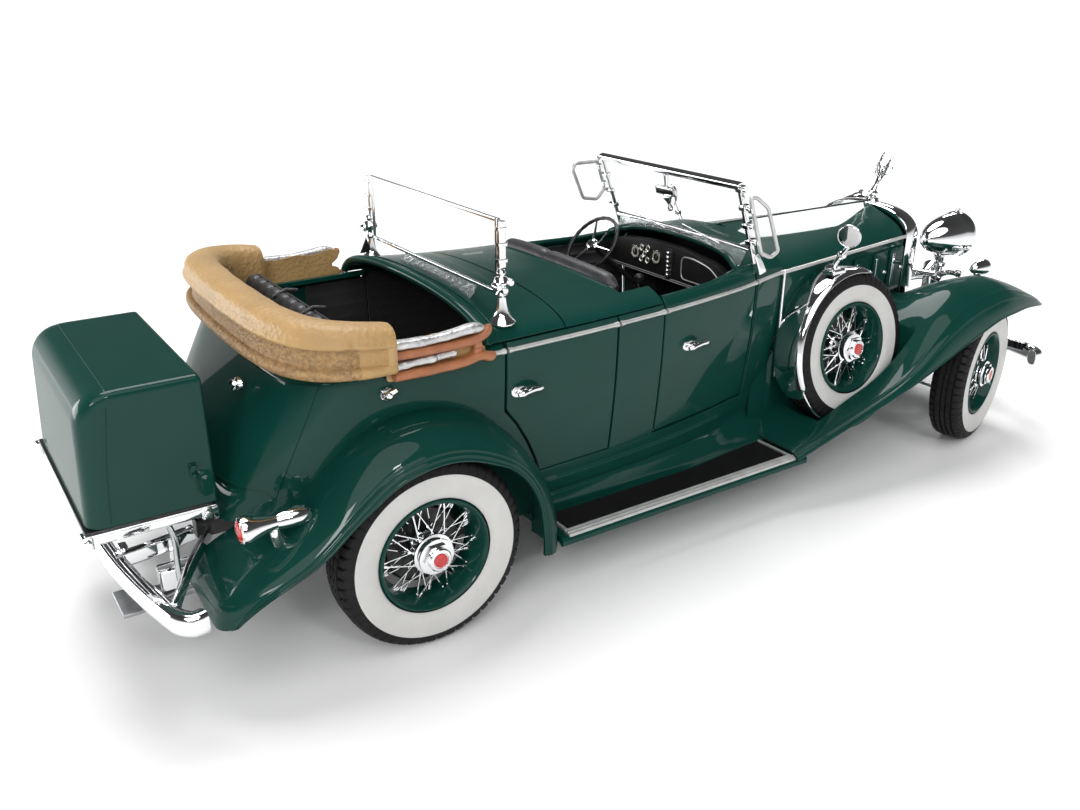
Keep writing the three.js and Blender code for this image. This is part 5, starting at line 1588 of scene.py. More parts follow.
def mascot_forms():
    """A slim figure leaning into the wind: two tall feathered wings raised behind, and arms held forward."""
    body = flowing([(97.9, 0, 78.6), (98.9, 0, 80.6), (100.3, 0, 82.6), (101.6, 0, 84.8),
                    (102.2, 0, 86.0)], 24)
    forms = [tube(body, np.interp(np.linspace(0, 1, 24), (0, 0.3, 0.55, 0.8, 1),
                                  (1.25, 0.75, 1.1, 0.7, 0.85)), 14)]
    for side in (-1, 1):
        for row, (length, spread, thick) in enumerate(((7.4, 1.7, 0.62), (5.6, 2.2, 0.5), (4.0, 2.6, 0.42))):
            root = np.array([101.2 - 0.35 * row, side * 0.4, 84.2 - 0.5 * row])
            tip = root + (2.9 * length / 7.4, side * spread, length)
            bend = (root + tip) / 2 + (-0.7, side * 0.5, 0.2)
            path = flowing([root, bend, tip], 18)
            feather = thick * (1 + 0.22 * np.sin(np.linspace(0, 19, 18))) * np.linspace(1.1, 0.5, 18)
            forms.append(tube(path, feather, 8, flat=0.8))
        arm = taper([(101.6, side * 0.6, 84.6), (103.2, side * 1.5, 85.0), (105.0, side * 1.2, 86.0),
                       (106.2, side * 0.5, 86.5)], 14, 0.5, 0.24, 8)
        forms.append(arm)
    head = moved(turned([(0, -0.8), (0.6, -0.55), (0.8, 0), (0.6, 0.55), (0, 0.8)], 16), 102.9, 0, 86.7)
    return forms + [head]


mascot = Piece("winged_mascot", "car_body", "chrome", ("mascot",))
for form in mascot_forms():
    mascot.add(form, CHROME)
mascot.done()


# ---- lamps and horns ----
HEADLIGHT_AT = (101.2, 21, 65.2)
LAMP_BAR_X, PARKING_Y, HORN_Y = 112.0, 32.6, 11.5


def headlight_forms(side):
    bowl = turned([(0, -0.2), (1.2, 0.0), (2.1, 0.6), (3.4, 2.0), (4.9, 4.4), (6.1, 7.3), (7.0, 10.6),
                   (7.55, 14.0), (7.75, 16.2), (7.95, 16.5), (8.05, 17.3), (7.85, 18.1), (7.2, 18.3),
                   (7.1, 17.4)], 64)
    face = turned([(0, 19.6), (2.4, 19.45), (4.8, 18.9), (6.6, 18.1), (7.1, 17.7), (6.6, 17.4), (0, 17.4)],
                  56)
    reflector = turned([(0, 8.0), (2.5, 8.8), (5.2, 12.0), (6.8, 16.8), (6.9, 17.3), (6.6, 17.3),
                        (0, 8.4)], 40)
    button = turned([(0, -1.1), (0.8, -1.0), (1.1, -0.5), (1.0, 0.2), (0, 0.2)], 20)
    forms = [(bowl, CHROME), (reflector, CHROME), (face, MOULDED), (button, CHROME)]
    x, y, z = HEADLIGHT_AT[0], side * HEADLIGHT_AT[1], HEADLIGHT_AT[2]
    placed_forms = [(moved(spun(form, "Z", -90), x, y, z), finish) for form, finish in forms]
    fin = tube([(116.7, y, 73.0), (117.9, y, 73.8), (119.1, y, 73.8)], (0.4, 0.7, 0.4), 8)
    stem = flowing([(112.4, y, 51.0), (112.5, y, 54.4), (112.0, y, 57.0), (111.4, y, 59.8)], 18)
    radius = np.interp(np.linspace(0, 1, 18), (0, 0.2, 0.5, 0.8, 1), (1.9, 1.15, 1.2, 1.9, 3.1))
    collar = moved(spun(turned([(0, -0.5), (1.9, -0.5), (2.1, 0), (1.9, 0.5), (0, 0.5)], 24), "X", 90),
                   112.4, y, 55.2)
    return placed_forms + [(fin, CHROME), (tube(stem, radius, 16), CHROME), (collar, CHROME)]


def lamp_bar_forms():
    y = np.linspace(-22, 22, 31)
    forms = [(tube(np.column_stack([np.full(31, LAMP_BAR_X), y, 50.4 + 1.1 * (y / 22) ** 2]), 1.05, 12),
              CHROME)]
    horn = turned([(0, 0), (1.1, 0.1), (1.3, 1.2), (1.1, 2.0), (1.15, 8), (1.5, 12), (2.3, 15),
                   (3.5, 17.2), (4.6, 18.2), (4.7, 18.6), (4.3, 18.6), (3.1, 17.0), (1.8, 14.0),
                   (0, 13.6)], 40)
    lamp = turned([(0, -0.3), (0.9, 0.1), (1.7, 1.3), (2.35, 3.4), (2.7, 5.8), (2.75, 7.0), (2.55, 7.5),
                   (0, 7.9)], 36)
    for side in (-1, 1):
        forms.append((moved(spun(horn, "Z", -90), 103.8, side * HORN_Y, 48.6), CHROME))
        forms.append((bar(110.9, 113.1, side * 17 - 1.1, side * 17 + 1.1, 32.4, 50.6, 0.4), CHROME))
        forms.append((moved(spun(lamp, "Z", -90), 113.9, side * PARKING_Y, 55.6), CHROME))
        pedestal = tube([(117.8, side * PARKING_Y, 52.4), (117.8, side * PARKING_Y, 53.0),
                         (117.8, side * PARKING_Y, 53.8)], (1.9, 1.2, 1.4), 14)
        forms.append((pedestal, CHROME))
        arm = taper([(112, side * 21, 51.4), (111.2, side * 25.5, 53.4), (111.4, side * 29.0, 53.6)], 12,
                    1.1, 0.8, 10)
        forms.append((arm, CHROME))
        forms.append((moved(turned([(0, -1.2), (1.1, -0.8), (1.3, 0), (1.1, 0.8), (0, 1.2)], 20), 111.4,
                            side * 29.3, 53.8), CHROME))
    return forms


for hand, side in SIDES:
    build(headlight_forms(side), f"headlight_bullet_{hand}", "car_body", "chrome", (f"headlight_{hand}",))
build(lamp_bar_forms(), "lamp_bar_and_horns", "car_body", "chrome", ("lamp_bar",), edge=0.06)

# ---- belt moulding and handles ----
def belt_z(x):
    return BELT_Z + 0.9 * ease(np.asarray(x, float) / 24)


def moulding(x0, x1, side):
    """A bright strip along the belt, thicker at both ends where the real one is pinned."""
    x = np.linspace(x0, x1, max(8, int((x1 - x0) / 1.6)))
    z = belt_z(x)
    path = np.column_stack([x, body_y(x, np.minimum(z, BELT_Z)) + 0.2, z])
    from_end = np.minimum(x - x0, x1 - x)
    size = 1 + 0.35 * (1 - ease(from_end / 1.6))
    half_round = [(0.2, -0.52), (-0.3, -0.45), (-0.52, -0.2), (-0.56, 0.0), (-0.52, 0.2), (-0.3, 0.45),
                  (0.2, 0.52)]
    strip = carried(path, half_round, size=size)
    return sided(strip, side)


def handle_forms(x, z, side):
    """An oval plate, a boss and a lever that points forward."""
    y = float(body_y(x, z))
    disc = turned([(0, -0.2), (1.9, -0.1), (1.75, 0.4), (1.1, 0.62), (0, 0.7)], 32)
    plate = moved(scaled(disc, (1.25, 1, 0.8)), x, y, z)
    boss = moved(turned([(0, 0.4), (0.85, 0.5), (0.75, 1.4), (0.95, 1.9), (0.6, 2.3), (0, 2.35)], 20), x,
                 y, z)
    path = flowing([(x - 1.2, y + 1.9, z - 0.3), (x + 0.6, y + 2.1, z + 0.1), (x + 3.2, y + 2.1, z + 0.55),
                    (x + 5.6, y + 1.7, z + 0.2), (x + 6.4, y + 1.3, z - 0.4)], 22)
    radius = np.interp(np.linspace(0, 1, 22), (0, 0.15, 0.3, 0.75, 1), (0.5, 0.85, 0.68, 0.82, 0.42))
    return [sided(form, side) for form in (plate, boss, tube(path, radius, 12))]


def bracket_forms(place, side):
    """A small plated top-iron bracket: a foot, two ears and a bolt."""
    x, y, z = place
    foot = turned([(0, -0.3), (1.7, -0.2), (1.6, 0.5), (0.9, 0.8), (0, 0.9)], 24)
    forms = [moved(foot, x, y, z)]
    for dx, dz in ((-1.5, 0.3), (1.9, 1.0)):
        ear = taper([(x, y + 0.6, z), (x + dx * 0.6, y + 1.1, z + dz * 0.6), (x + dx, y + 1.3, z + dz)], 8,
                    0.95, 0.6, 10)
        forms.append(ear)
    forms.append(moved(turned([(0, 0.6), (0.8, 0.7), (0.8, 1.8), (0.4, 2.1), (0, 2.1)], 16), x, y, z))
    return [sided(form, side) for form in forms]


HANDLES = {"front": (-18.4, 54.2), "rear": (-76.4, 54.9)}
DOOR_STRIPS = {"front": (-28.2, 10.5), "rear": (-79.6, -45.8)}
for hand, side in SIDES:
    for end in ("front", "rear"):
        trim = Piece(f"{end}_door_trim_{hand}", f"{end}_door_{hand}_body", "chrome", edge=0.04)
        trim.add(moulding(*DOOR_STRIPS[end], side), SATIN)
        for form in handle_forms(*HANDLES[end], side):
            trim.add(form, CHROME)
        trim.done()
    fixed = Piece(f"body_trim_{hand}", "car_body", "chrome", edge=0.04)
    for x0, x1 in ((-85.0, -80.4), (-45.0, -29.0), (11.3, 24.2)):
        fixed.add(moulding(x0, x1, side), SATIN)
    for form in bracket_forms((-110.8, float(body_y(-97, 61.8)) + 0.1, 61.8), side):
        fixed.add(form, CHROME)
    column = np.array([(11.9, float(body_y(11.9, z)) + 0.15, z) for z in np.linspace(31, 65.5, 12)])
    fixed.add(sided(tube(column, 0.2, 6), side), GREEN)
    strip = np.array([(24.5, float(hood_half(24.6)) + 0.75, z) for z in np.linspace(34, 67.6, 10)])
    fixed.add(sided(tube(strip, 0.45, 8), side), CHROME)
    fixed.done()

tail_irons = Piece("tail_lid_irons", "car_body", "chrome", edge=0.04)
IRON_Y, IRON_Z = -15.8, 61.4
iron_boss = turned([(0, -0.4), (1.6, -0.3), (1.5, 0.6), (0.8, 1.0), (0, 1.1)], 24)
tail_irons.add(moved(spun(iron_boss, "Z", 90), -135.4, IRON_Y, IRON_Z), CHROME)
for dy, dz in ((-1.6, 0.9), (1.6, 0.4), (0.2, -1.2)):
    middle = (-136.6, IRON_Y + dy * 0.6, IRON_Z + dz * 0.6)
    ear = taper([(-135.6, IRON_Y, IRON_Z), middle, (-136.9, IRON_Y + dy, IRON_Z + dz)], 8, 0.9, 0.55, 10)
    tail_irons.add(ear, CHROME)
tail_irons.done()

# ---- cabin: floor, linings, seats, dashboard and controls ----
CUSHION = material("seat_leather", (0.03, 0.03, 0.033), 0.42, tint=0.3, tint_size=4, grain=0.045,
                   grain_size=0.55, cells=True)
FLOOR_Z = 34.3


def lining(x0, x1, z0, z1, side, ribs, inset=1.75, deep=0.34):
    """A fluted trim panel just inside the body's skin; x0 may be a function of height."""
    t = np.linspace(0, 1, ribs * 6 + 1)[:, None]
    z = mix(z0, z1, t)
    start = x0(z) if callable(x0) else x0 + 0 * t
    x = mix(start, x1, np.linspace(0, 1, 26)[None, :])
    rows = skin(x, level_s(x, z + 0 * x))
    rows[..., 1] += inset - deep * np.sqrt(np.abs(np.sin(math.pi * ribs * t)))
    return sided(panel(rows, 0.5, CENTRE), -side)


cabin = Piece("cabin_lining", "car_body", "black_trim", edge=0.1)
floor_x = np.linspace(-98, 22, 40)
floor_y = body_y(floor_x, np.full(40, 33.5)) - 1.5
floor_edge = np.vstack([[(-121, 24.0), (-112, 30.0)], np.column_stack([floor_x, floor_y])])
cabin.add(prism(np.vstack([floor_edge, floor_edge[::-1] * (1, -1)]), 33.5, FLOOR_Z), CARPET)
BULKHEAD_X = (-46.8, -45.9)
cabin.add(bar(*BULKHEAD_X, -35.6, 35.6, 34, 66, 1), CARPET)
bulkhead = skin(np.full(50, -46.4), np.linspace(0.95, 3.05, 50))[:, 1:]
cabin.add(prism(bulkhead * (0.95, 1) - (0, 1.7), *BULKHEAD_X, "x"), CARPET)
cabin.add(bar(-121.8, -121.0, -34, 34, 34, 67, 1), CARPET)
shelf_half = np.linspace(-1, 1, 33)
shelf_edge = np.column_stack([-131.5 + 10.3 * np.abs(shelf_half) ** 3.2, 33.4 * shelf_half])
cabin.add(prism(shelf_edge, 66.0, 66.9), CARPET)
cabin.add(bar(-46, 20, -4.5, 4.5, 34, 38.5, 2), CARPET)
firewall = skin(np.full(60, 23.9), np.linspace(0.28, 3.72, 60))[:, 1:]
firewall = firewall * (0.955, 1) - (0, 0.9)
cabin.add(prism(firewall, 22.9, 23.9, "x"), BLACK)
for side in (-1, 1):
    cabin.add(lining(-98, -79.3, 35, 65.6, side, 8), CARPET)
    cabin.add(lining(-46.5, -29.2, 35, 65.6, side, 8), LEATHER)
    cabin.add(lining(11.6, 22.8, 35, 65.4, side, 4), CARPET)
    quarter = tail_point(np.linspace(0.36, 0.985, 20)[:, None], np.linspace(0.5, 32, 16)[None, :]) * (1,
            side, 1)
    cabin.add(panel(quarter + (0, -side * 1.8, 0), 0.5, (-104, 0, 50)), CARPET)
cabin.done()

for hand, side in SIDES:
    card = Piece(f"front_door_card_{hand}", f"front_door_{hand}_body", "black_trim", edge=0.06)
    card.add(lining(-27.4, 9.6, 36.0, 67.2, side, 9), LEATHER)
    pull = flowing([(-16, 0, 0), (-14, 1.3, 0), (-10, 1.5, 0), (-8, 0, 0)], 14)
    y = float(body_y(-12, 60)) - 2.6
    card.add(sided(moved(sided(tube(pull, 0.4, 8), -1), 0, y, 60.5), side), CHROME)
    card.done()
    Piece(f"rear_door_card_{hand}", f"rear_door_{hand}_body", "black_trim",
          edge=0.06).add(lining(lambda z: rear_edge_x(z, 1.1), -47.2, 36.0, 66.4, side, 9), CARPET).done()


def pleated(section, half, pleats, deep):
    """A stuffed roll of the section (x, z) across the car, drawn in at each seam and rounded at its ends."""
    outline = flowing(section, 44, closed=True)
    along = np.roll(outline, -1, axis=0) - np.roll(outline, 1, axis=0)
    out = np.column_stack([along[:, 1], -along[:, 0]])
    out /= np.linalg.norm(out, axis=1, keepdims=True)
    middle = outline.mean(axis=0)
    out *= np.sign(np.sum(out * (outline - middle)))
    rows = []
    for y in np.linspace(-half, half, pleats * 8 + 1):
        seam = abs(math.sin(math.pi * pleats * (y + half) / (2 * half)))
        end = math.sqrt(max(0, 1 - max(0, (abs(y) - half + 2.4) / 2.4) ** 2))
        ring = outline - out * (deep * (1 - seam ** 0.45) + 1.9 * (1 - end))
        rows.append(np.column_stack([ring[:, 0], np.full(len(ring), y), ring[:, 1]]))
    return weave(np.array(rows), wrap=True, caps=True)


def seat(name, stands_for, base, cushion, back, half, pleats):
    made = Piece(name, "car_body", "black_leather", (stands_for,), sharp=60)
    made.add(bar(base[0], base[1], -half, half, FLOOR_Z + 0.1, base[2], 1.5), LEATHER)
    made.add(pleated(cushion, half, pleats, 0.55), CUSHION)
    made.add(pleated(back, half, pleats, 0.55), CUSHION)
    for x, z in ((cushion[2][0] - 0.2, cushion[2][1] + 0.3), (back[4][0], back[4][1] - 0.2)):
        made.add(tube([(x, -half + 2, z), (x, 0, z), (x, half - 2, z)], 0.42, 8), LEATHER)
    return made


front_seat = seat("front_bench_seat", "front_seat", (-42, -21, 45.5),
                  [(-37, 45), (-21, 45), (-19.7, 47.6), (-19.9, 50.6), (-22, 52.5), (-34, 51.9),
                   (-37, 50.5)], [(-37.2, 50), (-33.8, 51.4), (-34.2, 60), (-35.8, 69), (-37.6, 71.8),
                                  (-39.8, 71.2), (-41.6, 66), (-43.4, 55), (-42, 50)], 28.6, 11)
roll_y = np.linspace(-27.5, 27.5, 61)
roll_x = -38.9 + 2.3 * (roll_y / 31) ** 2
roll_z = np.array([cowl_z(-41, y) for y in roll_y]) - 1.1
roll_r = 3.05 * (1 - 0.16 * np.exp(-(((roll_y - 2) / 1.1) ** 2))) * np.clip(1.15
        - np.abs(roll_y / 27.5) ** 12, 0.3, 1)
front_seat.add(tube(np.column_stack([roll_x, roll_y, roll_z]), roll_r, 20, flat=0.85), CUSHION)
front_seat.done()
rear_seat = seat("rear_bench_seat", "rear_seat", (-119, -97, 45.8),
                 [(-113, 45.4), (-97.6, 45.4), (-95.9, 48), (-96.1, 51.4), (-98.5, 53.2), (-110, 52.7),
                  (-113, 51)], [(-113.2, 51), (-109.6, 52.4), (-110, 61), (-112, 71), (-114, 73.3),
                                (-117, 72.5), (-119, 66), (-120.5, 55), (-118, 51)], 32, 12)
for y in (-9, 9):
    rear_seat.add(tube([(-111.0, y, 73.4), (-114, y, 74.0), (-117.6, y, 72.6)], 0.5, 8), LEATHER)
rear_seat.done()

DASH_X = 2.5


def gauge(y, z, radius, needle):
    """A bright ring, a cream scale and a dark centre with a needle, facing the seat."""
    parts = [
        (turned([(radius * 0.9, 0), (radius * 1.05, 0.15), (radius * 1.12, 0.45), (radius * 1.0, 0.6),
                 (radius * 0.86, 0.4)], 32), CHROME),
        (turned([(0, 0), (radius * 0.9, 0), (radius * 0.9, 0.32), (0, 0.32)], 32), DIAL),
        (turned([(0, 0.2), (radius * 0.6, 0.2), (radius * 0.6, 0.38), (0, 0.38)], 28), BLACK),
    ]
    forms = [(moved(spun(form, "Z", 90), DASH_X, y, z), finish) for form, finish in parts]
    a = math.radians(needle)
    tip = np.array([DASH_X - 0.5, y + radius * 0.75 * math.cos(a), z + radius * 0.75 * math.sin(a)])
    foot = np.array([DASH_X - 0.5, y, z])
    return forms + [(tube([foot, (foot + tip) / 2, tip], 0.07, 5), SATIN)]


dash = Piece("dashboard_fascia", "car_body", "black_trim", ("dashboard",), edge=0.12)
dash_arch = [(-28, 61.4), (28, 61.4), (28, 68), (21, 70.8), (9, 72.2), (0, 72.5), (-9, 72.2), (-21, 70.8),
             (-28, 68)]
dash.add(prism(rounded(dash_arch, 2.2, 5), DASH_X, 5.4, "x"), BLACK)
for y, z, radius, needle in ((13.4, 67.4, 1.95, 60), (3.2, 67.6, 1.95, 130), (10.2, 69.4, 0.95, 80),
                             (7.2, 69.6, 0.95, 20), (10.2, 65.9, 0.95, 140), (7.2, 65.9, 0.95, 100),
                             (8.7, 67.7, 0.95, 45)):
    for form, finish in gauge(y, z, radius, needle):
        dash.add(form, finish)
dash.add(prism(rounded([(-4.6, 62.2), (-1.0, 62.2), (-1.0, 71.4), (-4.6, 71.4)], 1.6, 5), DASH_X - 0.5,
               DASH_X + 0.2, "x"), BLACK)
for z in np.linspace(63.4, 70.2, 6):
    dash.add(moved(spun(turned([(0, 0), (0.62, 0.1), (0.72, 0.6), (0.4, 1.0), (0, 1.05)], 16), "Z", 90),
                   DASH_X - 0.4, -2.8, z), CHROME)
glove = rounded([(-8.6, 63.6), (-25.2, 63.6), (-25.4, 66.4), (-21, 69.4), (-14, 70.6), (-8.6, 70.4)], 2.0, 6)
dash.add(prism(glove, DASH_X - 0.35, DASH_X + 0.2, "x"), BLACK)
dash.add(tube(np.column_stack([np.full(len(glove), DASH_X - 0.35), glove]), 0.2, 6, closed=True), SATIN)
for z in (62.2, 61.6):
    dash.add(tube([(DASH_X - 0.1, y, z) for y in (-27.4, 0, 27.4)], 0.16, 6), SATIN)
dash.done()

RAKE, WHEEL_CENTRE, WHEEL_R = 40, (-13, 16, 71), 9.6


def on_column(form):
    return moved(spun(spun(form, "X", 90), "Y", RAKE - 90), *WHEEL_CENTRE)


steering = Piece("steering_wheel_and_column", "steering_wheel_body", "black_trim", ("steering_wheel",))
angles = np.linspace(0, 2 * math.pi, 96, endpoint=False)
ring = np.column_stack([WHEEL_R * np.cos(angles), 0 * angles, WHEEL_R * np.sin(angles)])
steering.add(on_column(tube(ring, 0.56 + 0.06 * np.cos(24 * angles), 12, closed=True)), BLACK)
for degrees in (90, 210, 330):
    a = math.radians(degrees)
    reach = np.array([(r * math.cos(a), y, r * math.sin(a)) for r, y in ((1.2, -0.3), (5, -0.15), (9.3, 0))])
    steering.add(on_column(tube(reach, (0.62, 0.42, 0.34), 10, flat=0.7)), CHROME)
steering.add(on_column(turned([(0, -1.6), (1.1, -1.5), (1.9, -0.6), (2.0, 0.1), (1.6, 0.5), (1.5, 0.9),
                               (0.9, 1.2), (0, 1.25)], 32)), CHROME)
steering.add(on_column(turned([(0, 1.0), (0.85, 1.05), (0.7, 1.45), (0, 1.55)], 24)), BLACK)
steering.add(on_column(tube([(0, -1, 0), (0, -15, 0), (0, -29.6, 0)], (0.85, 0.85, 0.95), 14)), BLACK)
steering.add(on_column(tube(flowing([(0.8, -1.8, 0), (3.4, -1.7, 0.7), (5.6, -1.4, 1.2)], 10), 0.24, 8)),
             CHROME)
steering.done()

levers = Piece("levers_and_pedals", "car_body", "black_trim", edge=0.05)
levers.add(tube(flowing([(-2, -1, 38.4), (-3.4, -1, 48), (-6.2, -0.6, 57.4), (-7.2, -0.5, 61.6)], 18),
                0.55, 10), CHROME)
levers.add(moved(spun(turned([(0, -1.7), (1.0, -1.4), (1.6, -0.3), (1.5, 0.9), (0.9, 1.5), (0, 1.6)], 28),
                      "X", 90), -7.4, -0.5, 63), BLACK)
levers.add(tube(flowing([(-4, -4.6, 38), (-8.4, -4.8, 48), (-10.2, -5, 55)], 14), 0.6, 10), CHROME)
levers.add(tube([(-10.2, -5, 54.4), (-10.6, -5, 56.6), (-10.8, -5, 58)], (0.9, 1.0, 0.7), 12), BLACK)
for y in (10, 15.4, 21):
    levers.add(placed(bar(-1.4, 1.4, -1.5, 1.5, 0, 0.7, 0.5),
                      Matrix.Translation((12.6, y, 42.6)) @ Matrix.Rotation(-0.9, 4, "Y")), STEEL)
    levers.add(tube([(13.2, y, 42.9), (16.4, y, 44.6), (19.6, y, 47)], 0.45, 8), STEEL)
levers.done()


# ---- engine, chassis, axles and steering ----
def node_box(name):
    low, high = (np.array(corner) / MM - (ORIGIN_SHIFT, 0, 0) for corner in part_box(name))
    return low, high


low, high = node_box("engine")
span = high - low
engine = Piece("straight_engine", "car_body", "grey_metal", ("engine",), edge=0.12)
mid_z = low[2] + span[2] * 0.62
engine.add(bar(low[0] + 2, high[0] - 3, -5.6, 5.6, low[2] + 0.4, mid_z, 1.2), STEEL)
engine.add(bar(low[0] + 3, high[0] - 4, -4.6, 4.6, mid_z, high[2] - 0.4, 1.0), GREEN)
for x in np.linspace(low[0] + 6, high[0] - 8, 8):
    engine.add(tube([(x, 3.2, high[2] - 0.6), (x, 3.6, high[2] - 0.2)], 0.55, 8), WHITE)
    engine.add(tube(flowing([(x, -4.8, mid_z - 1), (x, -7.2, mid_z - 2), (x, -7.8, mid_z - 5)], 8), 0.9,
                    10), STEEL)
engine.add(tube([(low[0] + 5, -8, mid_z - 5.4), (low[0] + span[0] / 2, -8, mid_z - 5.6),
                 (high[0] - 7, -8, mid_z - 5.4)], 1.3, 12), STEEL)
fan_x = high[0] - 1.4
engine.add(moved(spun(turned([(0, -0.8), (2.4, -0.8), (2.6, 0), (2.0, 0.8), (0, 0.8)], 24), "Z", 90),
                 fan_x, 0, mid_z), STEEL)
for degrees in (45, 135, 225, 315):
    blade = placed(bar(-0.25, 0.25, 1.6, 7.4, -1.3, 1.3, 0.2),
                   Matrix.Rotation(math.radians(degrees), 4, "X"))
    engine.add(moved(blade, fan_x, 0, mid_z), BLACK)
engine.done()

RAIL_Y, PIPE_Y, PIPE_Z = 17, 23, 18


def fishtail(side):
    """The pipe's end, pressed flat and flared."""
    rings = []
    for t in np.linspace(0, 1, 12):
        x, y = mix(-152, -169.4, t), side * mix(PIPE_Y, 21.8, ease(t))
        wide, tall = mix(1.5, 5.6, ease(t * 1.1)), mix(1.5, 0.55, ease(t * 1.6))
        ring = rounded(oblong(wide, tall), min(wide, tall) * 0.95, 4)
        rings.append(np.column_stack([np.full(len(ring), x), y + ring[:, 0], 18.1 + ring[:, 1]]))
    return weave(np.array(rings), wrap=True, caps=True)


def leaf_spring(x, side):
    forms = []
    for i, half in enumerate((20, 15.5, 11, 7)):
        t = np.linspace(-1, 1, 21) * half
        z = 25.8 - 0.75 * i + 2.4 * (t / 20) ** 2
        path = np.column_stack([x + t, np.full(21, side * 21.2), z])
        forms.append((carried(path, oblong(1.1, 0.32)), CHASSIS))
    forms.append((block(x, side * 21.2, 1.8, 1.5, 22.6, 26.6, 0.4), CHASSIS))
    return forms


chassis = Piece("ladder_chassis", "car_body", "black_chassis", ("chassis_frame",), edge=0.12)
for side in (-1, 1):
    web = rounded([(RAIL_Y * side - 1.9, 27.1), (RAIL_Y * side + 1.9, 27.1), (RAIL_Y * side + 1.9, 31.6),
                   (RAIL_Y * side - 1.9, 31.6)], 0.4, 2)
    chassis.add(prism(web, -149.8, 137.8, "x"), CHASSIS)
    for x in (-120, -90, -40, 20, 80, 128):
        rivet = moved(turned([(0, -0.3), (0.6, -0.2), (0.5, 0.3), (0, 0.4)], 12), x,
                      side * (RAIL_Y + 1.95), 29.4)
        chassis.add(rivet, CHASSIS)
    chassis.add(tube([(-40, side * PIPE_Y, PIPE_Z), (-90, side * PIPE_Y, PIPE_Z),
                      (-152.4, side * PIPE_Y, PIPE_Z)], 1.45, 16), STEEL)
    chassis.add(fishtail(side), STEEL)
    muffler = turned([(0, 0), (2.2, 0.4), (3.0, 2), (3.0, 24), (2.2, 25.6), (0, 26)], 28)
    chassis.add(moved(spun(muffler, "Z", 90), -40, side * PIPE_Y, PIPE_Z + 1), STEEL)
    for x in (-60, -136):
        chassis.add(bar(x - 1.6, x + 1.6, *sorted((side * 17.5, side * 23.6)), 17.6, 27.6, 0.5), CHASSIS)
    for x in (AXLE_X, -AXLE_X):
        for form, finish in leaf_spring(x, side):
            chassis.add(form, finish)
for x in (135, 60, 0, -60, -136):
    chassis.add(block(x, 0, 1.8, RAIL_Y, 27.6, 31.1, 0.5), CHASSIS)
for x in (60, -60):
    pad = turned([(0, 13), (4.4, 13), (4.9, 13.5), (4.9, 27.8), (0, 27.8)], 40)
    chassis.add(moved(spun(pad, "X", 90), x, 0, 0), CHASSIS)
    chassis.add(moved(spun(turned([(0, 12.95), (1.6, 12.95), (1.6, 13.2), (0, 13.2)], 24), "X", 90), x, 0,
                      0), STEEL)
apron_x = np.linspace(100.5, 138.6, 24)[:, None]
apron_y = np.linspace(-19.4, 19.4, 25)[None, :]
apron_z = mix(34.6, 31.8, ease((apron_x - 100) / 32)) - 3.4 * ease((apron_x - 134)
        / 5) ** 2 - 1.2 * (apron_y / 19.4) ** 4
front_apron = np.stack([apron_x + 0 * apron_y, apron_y + 0 * apron_x, apron_z], axis=-1)
chassis.add(panel(front_apron, 0.7, (120, 0, 0)), GREEN)
chassis.add(tube([(36, 0, 27), (-20, 0, 26.4), (-98, 0, 25)], 1.5, 14), STEEL)
chassis.add(bar(22, 52, -7.5, 7.5, 22.6, 32, 3), STEEL)
chassis.add(bar(66, 93, -9, 9, 22.8, 34, 3), STEEL)
chassis.done()

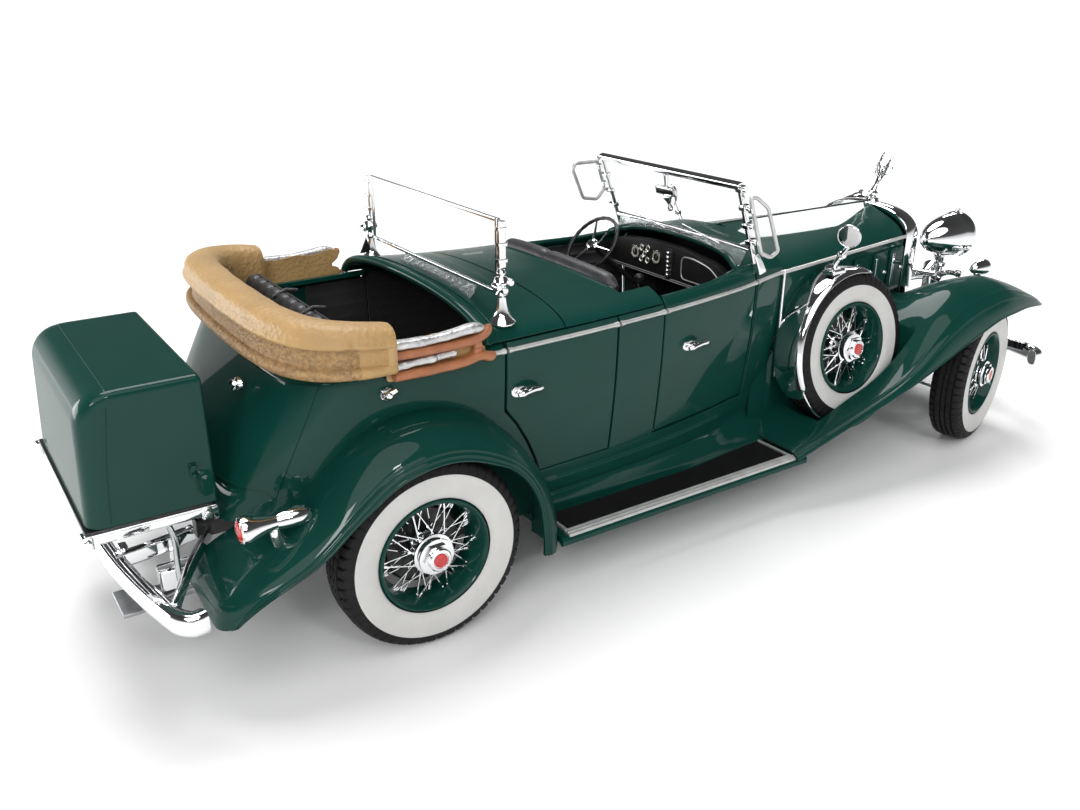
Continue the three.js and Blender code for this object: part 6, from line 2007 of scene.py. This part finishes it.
axle = Piece("front_axle_beam", "car_body", "black_chassis", ("front_axle",), edge=0.1)
beam = flowing([(AXLE_X, -38.4, 23.4), (AXLE_X, -32, 21.4), (AXLE_X, -18, 20.8), (AXLE_X, 18, 20.8),
                (AXLE_X, 32, 21.4), (AXLE_X, 38.4, 23.4)], 40)
i_beam = [(-1.5, -1.5), (1.5, -1.5), (1.5, -0.9), (0.5, -0.6), (0.5, 0.6), (1.5, 0.9), (1.5, 1.5),
          (-1.5, 1.5), (-1.5, 0.9), (-0.5, 0.6), (-0.5, -0.6), (-1.5, -0.9)]
axle.add(carried(beam, i_beam), CHASSIS)
for side in (-1, 1):
    boss = turned([(0, 21.9), (1.8, 21.9), (1.9, 22.4), (1.9, 24.9), (1.8, 25.3), (0, 25.3)], 24)
    axle.add(moved(spun(boss, "X", 90), AXLE_X, side * KINGPIN_Y, 0), CHASSIS)
axle.done()

axle = Piece("rear_axle_casing", "car_body", "black_chassis", ("rear_axle",), edge=0.08)
casing = turned([(0, -48.2), (1.5, -48.2), (1.6, -30), (2.2, -14), (2.2, 14), (1.6, 30), (1.5, 48.2),
                 (0, 48.2)], 28)
housing = turned([(0, -5.4), (2.6, -5.1), (4.9, -3.2), (5.5, -0.7), (5.9, -0.5), (5.9, 0.5), (5.5, 0.7),
                  (4.9, 3.2), (2.6, 5.1), (0, 5.4)], 40)
for form in (casing, housing):
    axle.add(moved(form, -AXLE_X, 0, AXLE_Z), CHASSIS)
axle.done()

for hand, side in SIDES:
    knuckle = Piece(f"steering_knuckle_{hand}", f"knuckle_{hand}_body", "black_chassis",
                    (f"knuckle_{hand}",), edge=0.1)
    for form in (bar(-1.9, 1.9, -1.9, 3.5, 19.9, 21.4, 1.4), bar(-1.9, 1.9, -1.9, 3.5, 25.8, 27.3, 1.4),
                 bar(-1.9, 1.9, 2.4, 3.5, 20, 27.2, 0.4), bar(-12.7, 0, -2.6, -1.2, 19.9, 21.1, 0.6),
                 moved(turned([(0, 3), (1.5, 3), (1.5, 6.2), (0, 6.2)], 20), 0, 0, AXLE_Z)):
        knuckle.add(moved(spun(sided(form, side), "Z", STEER_REST), AXLE_X, side * KINGPIN_Y, 0), CHASSIS)
    knuckle.done()

low, high = node_box("tie_rod")
centre = (low + high) / 2
rod = Piece("track_rod", "tie_rod_body", "black_chassis", ("tie_rod",), edge=0.05)
rod.add(tube([(centre[0], low[1], centre[2]), (centre[0], centre[1], centre[2]),
              (centre[0], high[1], centre[2])], 0.6, 12), STEEL)
for y in (low[1] + 1.4, high[1] - 1.4):
    rod.add(moved(turned([(0, -1.3), (0.8, -1.3), (0.9, 0), (0.8, 1.3), (0, 1.3)], 16), centre[0], y,
                  centre[2]), CHASSIS)
rod.done()
